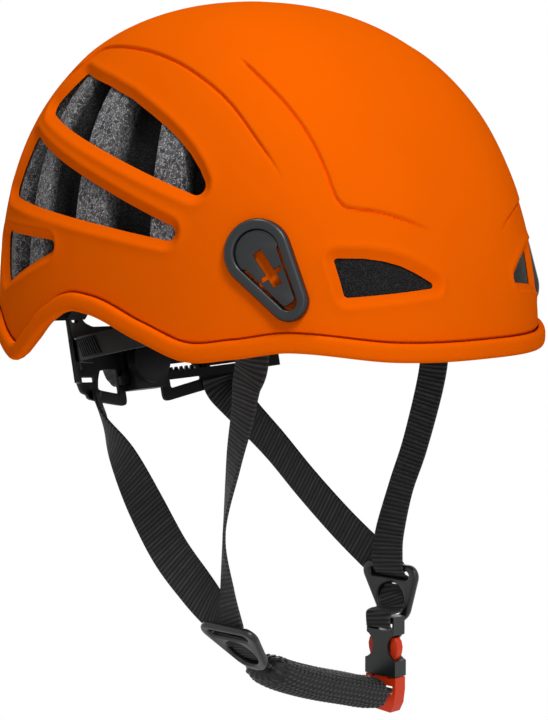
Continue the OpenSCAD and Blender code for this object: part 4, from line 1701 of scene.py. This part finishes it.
@dataclass
class RearCradle:
    """The frame behind the head that carries the ratchet and the rear straps."""

    frame: BandFrame
    wing: float = 62.0
    low: float = 1.6
    high: float = 3.8
    edge: float = 0.5
    corner: float = 2.6
    slice_every: float = 3.0

    def half(self) -> list[Pair]:
        """Draw one half of the outline.

        Returns:
            Its corners from the middle of the upper edge to the middle of the lower.
        """
        w = self.wing
        upper = [(0, 19.6), (34, 19.6), (42, 22), (45.6, 27), (45, 36), (43.5, 47), (60, 47), (62.5, 36)]
        outer = [(w + 0.4, 18), (w + 0.6, 2), (w - 1, -8), (w - 5, -14.4), (w - 12, -15.5)]
        return upper + outer + [(49, -17.6), (15.5, -22.6), (13.2, -21), (13.2, 15.2), (0, 15.2)]

    def holes(self) -> list[tuple[Array, float]]:
        """List the openings of one half.

        Returns:
            Each opening's corners with the radius that rounds them.
        """
        inner = [
            ([(18.6, -3.2), (33, -3.2), (36, -8), (37.4, -13), (18.6, -16)], 1.6),
            ([(50, 21.5), (57.6, 21.5), (58.4, 31), (56.4, 41.5), (48.6, 41.5), (50.4, 31)], 1.8),
        ]
        from_wing = [
            ([(-18.4, 6), (-14, 8), (-13.6, 13), (-17.6, 11.4)], 1.2),
            ([(-10, -3.4), (-5.2, -2.4), (-4, 4), (-4.6, 11), (-9, 10), (-8.4, 3)], 1.5),
            ([(-22, -9), (-4, -9), (-4, -6.6), (-22, -6.6)], 0.8),
        ]
        moved = [(np.array(corners) + (self.wing, 0), radius) for corners, radius in from_wing]
        return [(np.array(corners), radius) for corners, radius in inner] + moved

    def build(self) -> bpy.types.Object:
        """Make the cradle.

        Returns:
            The cradle.
        """
        half = self.half()
        ring = half + [(-u, v) for u, v in half[-2:0:-1]]
        cuts = tuple(
            eased(corners * np.array([side.value, 1]), radius)
            for side in Side
            for corners, radius in self.holes()
        )
        outer = eased(ring, self.corner)
        slices = tuple(self.slice_every * k for k in range(-20, 21))
        plate = Plate("rear_cradle_frame", outer, cuts, self.low, self.high, self.edge, slices)
        return plate.build(self.frame.bent)


@dataclass
class FlexRibs:
    """Slanted ribs on the outer face of one side of the headband."""

    frame: BandFrame
    side: Side
    count: int = 9
    pitch: float = 1.9
    first: float = 9.0
    slant: float = 4.0
    half_strip: float = 0.8
    low: float = 1.4
    tall: float = 9.2
    rows: int = 6
    crease: float = 60.0
    section: tuple[Pair, ...] = ((-0.6, -0.1), (-0.3, 0.5), (0.3, 0.5), (0.6, -0.1))
    curve: tuple[Pair, ...] = ((28.75, 68.65), (48.8, 90.9), (200, 70), (200, 0))

    def path(self) -> Array:
        """Draw the middle line of the headband on its way forward.

        Returns:
            Points of the band's frame at every millimetre.
        """
        a, b, c, d = np.array(self.curve, float)
        t = np.linspace(0, 0.4, 200)[:, None]
        line = a * (1 - t) ** 3 + 3 * b * t * (1 - t) ** 2 + 3 * c * t * t * (1 - t) + d * t**3
        run = run_along(line)
        return read_along(line, run, np.arange(0, run[-1]))

    def build(self) -> bpy.types.Object:
        """Make the ribs as one piece.

        Returns:
            The ribs.
        """
        line = self.path()
        way = unit(np.gradient(line, axis=0))
        one = ring_faces(self.rows, len(self.section), False, True)
        points: list[Spot] = []
        faces: Faces = []
        for k in range(self.count):
            faces += [tuple(len(points) + i for i in f) for f in one]
            for h in np.linspace(0, 1, self.rows):
                for along, proud in self.section:
                    at = self.first + k * self.pitch + self.slant * (1 - h) + along
                    x, y, wx, wy = (np.interp(at, np.arange(len(line)), c) for c in (*line.T, *way.T))
                    off = self.half_strip + proud
                    points.append((x - wy * off, y + wx * off, self.low + self.tall * h))
        places = self.frame.tilted(np.array(points) * np.array([1, self.side.value, 1]))
        return new_mesh(f"flex_ribs_{self.side.word}", places, turned(faces, self.side), self.crease)


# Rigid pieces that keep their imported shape, with their edges broken


@dataclass(frozen=True)
class Softened:
    """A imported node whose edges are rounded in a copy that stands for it."""

    node: str
    body: str
    slot: str
    edge: float = 0.4
    steps: int = 2
    weld: float = 0.00001
    flat: float = 1.0
    turn: float = 35.0
    crease: float = 50.0

    def build(self, source: bpy.types.Object) -> bpy.types.Object:
        """Make the copy.

        Args:
            source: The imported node.

        Returns:
            The copy.
        """
        mesh = source.data.copy()
        obj = bpy.data.objects.new(f"{self.node}_moulding", mesh)
        bpy.context.scene.collection.objects.link(obj)
        bm = bmesh.new()
        bm.from_mesh(mesh)
        bmesh.ops.remove_doubles(bm, verts=bm.verts[:], dist=self.weld)
        limit = math.radians(self.flat)
        bmesh.ops.dissolve_limit(bm, angle_limit=limit, verts=bm.verts[:], edges=bm.edges[:])
        bm.to_mesh(mesh)
        bm.free()
        mesh.shade_smooth()
        bevel = obj.modifiers.new("edges", "BEVEL")
        bevel.width = self.edge * MM
        bevel.segments = self.steps
        bevel.limit_method = "ANGLE"
        bevel.angle_limit = math.radians(self.turn)
        bevel.harden_normals = False
        mesh.set_sharp_from_angle(angle=math.radians(self.crease))
        return obj


MOULDINGS = (
    Softened("ratchet_base", "helmet", "suspension_black", 0.6),
    Softened("ratchet_cover", "helmet", "suspension_black", 0.6),
    Softened("rack_left", "rack_left", "suspension_black", 0.15),
    Softened("rack_right", "rack_right", "suspension_black", 0.15),
    Softened("adjuster_knob", "knob", "suspension_black"),
    Softened("strap_anchors", "helmet", "suspension_black"),
    Softened("headband", "helmet", "suspension_black"),
    Softened("buckle_socket", "helmet", "clip_black", 0.8, 3),
    Softened("buckle_tongue", "tongue", "buckle_red", 0.8, 3),
    Softened("prong_front", "prong_front", "buckle_red", 0.6, 3),
    Softened("prong_rear", "prong_rear", "buckle_red", 0.6, 3),
)


# Camera, light and floor


@dataclass(frozen=True)
class Lamp:
    """A soft square lamp: its place, what it points at, its width and its strength in watts."""

    name: str
    place: Spot
    aim: Spot
    size: float
    power: float

    def build(self) -> None:
        """Set the lamp."""
        data = bpy.data.lights.new(self.name, "AREA")
        data.size = self.size * MM
        data.energy = self.power
        obj = bpy.data.objects.new(self.name, data)
        place = Vector(self.place)
        obj.location = place * MM
        obj.rotation_euler = (Vector(self.aim) - place).to_track_quat("-Z", "Y").to_euler()
        bpy.context.scene.collection.objects.link(obj)


@dataclass
class Studio:
    """The photograph's viewpoint, plain soft light and a pale floor."""

    round_angle: float = 44.003
    above: float = 2.292
    distance: float = 1156.44
    aim_height: float = 50.0
    yaw: float = -0.567
    pitch: float = 3.224
    focal_pixels: float = 2319.5
    tall_pixels: float = 720.0
    film: float = 36.0
    near_and_far: Pair = (0.05, 50.0)
    surround: float = 0.15
    floor_height: float = -330.0
    floor_half: float = 6000.0
    shadow: Pair = (0.4, 0.6)
    shadow_white: float = 0.6
    lamps: tuple[Lamp, ...] = (
        Lamp("key", (1000, -450, 1000), (40, -20, 30), 400, 11),
        Lamp("fill", (1000, -1000, 150), (0, 0, 0), 800, 2.2),
        Lamp("top", (-100, -250, 1300), (20, -20, 60), 400, 5.3),
        Lamp("back", (-1100, 700, 250), (0, 0, 20), 800, 6),
    )

    @staticmethod
    def back(a: float, e: float) -> Vector:
        """Direction from the helmet to a viewer at an angle round it and one above it."""
        a, e = math.radians(a), math.radians(e)
        return Vector((math.sin(a) * math.cos(e), -math.cos(a) * math.cos(e), math.sin(e)))

    def camera(self) -> None:
        """Set the camera."""
        data = bpy.data.cameras.new("viewpoint")
        data.sensor_width = self.film
        data.lens = self.focal_pixels / self.tall_pixels * self.film
        data.clip_start, data.clip_end = self.near_and_far
        obj = bpy.data.objects.new("viewpoint", data)
        away = self.distance * self.back(self.round_angle, self.above)
        obj.location = (Vector((0, 0, self.aim_height)) + away) * MM
        look = -self.back(self.round_angle + self.yaw, self.above + self.pitch)
        obj.rotation_euler = look.to_track_quat("-Z", "Y").to_euler()
        bpy.context.scene.collection.objects.link(obj)
        bpy.context.scene.camera = obj

    @staticmethod
    def seen_white(n: Nodes, white: bpy.types.Node, out: str, share: object = 1.0) -> None:
        """Mix plain white into what the camera and reflections see.

        Args:
            n: The nodes.
            white: The white shader.
            out: Name of the output node.
            share: How much of the white is mixed in.
        """
        rays = n.add("LightPath").outputs
        seen = rays["Is Camera Ray"]
        for word in ("Is Glossy Ray", "Is Transmission Ray"):
            seen = n.math("MAXIMUM", seen, rays[word])
        inputs = {0: n.math("MULTIPLY", seen, share), 1: n.shader.outputs[0], 2: white.outputs[0]}
        n.put(n.tree.nodes[out].inputs[0], n.add("MixShader", inputs).outputs[0])

    def world(self) -> None:
        """Set an even pale surround that the camera sees as white."""
        world = bpy.data.worlds.new("surround")
        bpy.context.scene.world = world
        n = Nodes(world)
        white = {"Color": (1, 1, 1, 1), "Strength": 1.0}
        n.put(n.shader.inputs["Color"], white["Color"])
        n.put(n.shader.inputs["Strength"], self.surround)
        self.seen_white(n, n.add("Background", white), "World Output")

    def floor(self) -> None:
        """Lay the floor, which keeps the helmet's shadow and is plain white further off."""
        signs = np.array([(-1, -1, 0), (1, -1, 0), (1, 1, 0), (-1, 1, 0)])
        obj = new_mesh("floor", signs * self.floor_half + (0, 0, self.floor_height), [(0, 1, 2, 3)])
        n = new_nodes("floor_pale")
        n.base(n.mix(n.noise(3.0), (0.86, 0.86, 0.86), (0.9, 0.9, 0.9)), 0.8)
        away = n.add("VectorMath", {0: n.place()}, operation="LENGTH").outputs["Value"]
        share = n.span(away, *self.shadow, (self.shadow_white, 1.0))
        self.seen_white(n, n.add("Emission", {"Strength": 1.0}), "Material Output", share)
        obj.data.materials.append(n.owner)
        obj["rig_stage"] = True

    def build(self) -> None:
        """Set up the whole studio."""
        self.camera()
        self.world()
        self.floor()
        for lamp in self.lamps:
            lamp.build()
        bpy.context.scene.view_settings.view_transform = "Standard"


class Helmet:
    """The whole helmet: builds each sub-assembly, dresses it and hangs it on its body."""

    def __init__(self, nodes: dict[str, bpy.types.Object]) -> None:
        """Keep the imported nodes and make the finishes.

        Args:
            nodes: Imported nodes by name.
        """
        self.nodes = nodes
        self.finishes = Finishes()
        self.form = ShellForm()

    def set(self, obj: bpy.types.Object, body: str, slot: str, *replaced: str) -> bpy.types.Object:
        """Dress a piece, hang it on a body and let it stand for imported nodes.

        Args:
            obj: The piece.
            body: Body that it moves with.
            slot: Finish that it takes.
            replaced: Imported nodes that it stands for.

        Returns:
            The piece.
        """
        self.finishes.dress(obj, slot)
        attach(obj, body)
        if replaced:
            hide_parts(*replaced)
        LOG.info("%s on %s", obj.name, body)
        return obj

    def shell(self) -> None:
        """Shell, rim, liner and clips."""
        self.set(OuterShell(self.form).build(), "helmet", "shell_orange", "outer_shell")
        self.set(RimBand(self.form).build(), "helmet", "shell_orange", "rim_band")
        liner = self.set(FoamLiner(self.form).build(), "helmet", "bead_foam", "foam_liner")
        for side in Side:
            clip = AccessoryClip(self.form, side)
            self.set(clip.build(), "helmet", "clip_black", f"clip_frame_{side.word}")
            node = f"clip_tongue_{side.word}"
            self.set(clip.tongue(), node, "clip_black", node)

    def straps(self) -> None:
        """Webbing and the chin sleeve."""
        routes = {"front_strap_left": FRONT_LEFT, "front_strap_right": FRONT_RIGHT,
                  "rear_strap_left": REAR_LEFT, "rear_strap_right": REAR_RIGHT}
        for node, route in routes.items():
            side = Side.LEFT if node.endswith("left") else Side.RIGHT
            self.set(Strap(f"{node}_tape", route, side).build(), "helmet", "webbing_black", node)
        web = Strap("buckle_web_tape", BUCKLE_WEB, width=CHIN_WEB, along=(1, 0, 0)).build()
        self.set(web, "helmet", "webbing_black", "buckle_web")
        chin = Strap("chin_tape", CHIN, width=CHIN_WEB, along=(1, 0, 0)).build()
        self.finishes.dress(chin, "webbing_black")
        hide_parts("chin_strap")
        self.across_buckle(chin)
        sleeve = ChinSleeve(SLEEVE).build()
        self.finishes.dress(sleeve, "sleeve_knit")
        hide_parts("chin_pad")
        self.across_buckle(sleeve)

    def suspension(self) -> None:
        """The cradle, the headband's ribs and the strap dividers."""
        band = BandFrame()
        self.set(RearCradle(band).build(), "helmet", "suspension_black", "rear_cradle")
        for side in Side:
            self.set(FlexRibs(band, side).build(), "helmet", "suspension_black")
        left = Divider("divider_left", (43, 58, -134))
        right = Divider("divider_right", (46, -57, -144), 42.0)
        self.set(left.build(), "helmet", "clip_black", "slider_left")
        self.set(right.build(), "helmet", "clip_black", "slider_right")

    def across_buckle(self, obj: bpy.types.Object) -> None:
        """Bake a piece's placement into its mesh.

        Args:
            obj: The piece.
        """
        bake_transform(obj)
        LOG.info("%s from helmet to tongue", obj.name)

    def mouldings(self) -> None:
        """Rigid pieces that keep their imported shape."""
        for kind in MOULDINGS:
            self.set(kind.build(self.nodes[kind.node]), kind.body, kind.slot, kind.node)
        plain = {
            "suspension_plugs": "suspension_black",
            "drive_pinion": "pinion_grey",
            "knob_screw": "screw_steel",
        }
        for node, slot in plain.items():
            self.finishes.dress(self.nodes[node], slot)
            LOG.info("%s as packed", node)


def corners(box: tuple[Vector, Vector]) -> list[list[float]]:
    """A box's two corners as plain lists."""
    return [[float(v) for v in corner] for corner in box]


def main() -> None:
    """Build the helmet and the studio."""
    logging.basicConfig(level=logging.INFO, format="%(message)s")
    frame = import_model()
    packed = corners(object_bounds())
    Studio().build()
    helmet = Helmet(frame["nodes"])
    helmet.shell()
    helmet.straps()
    helmet.suspension()
    helmet.mouldings()
    {"cad": packed, "visual": corners(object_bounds())}


if __name__ == "__main__":
    main()
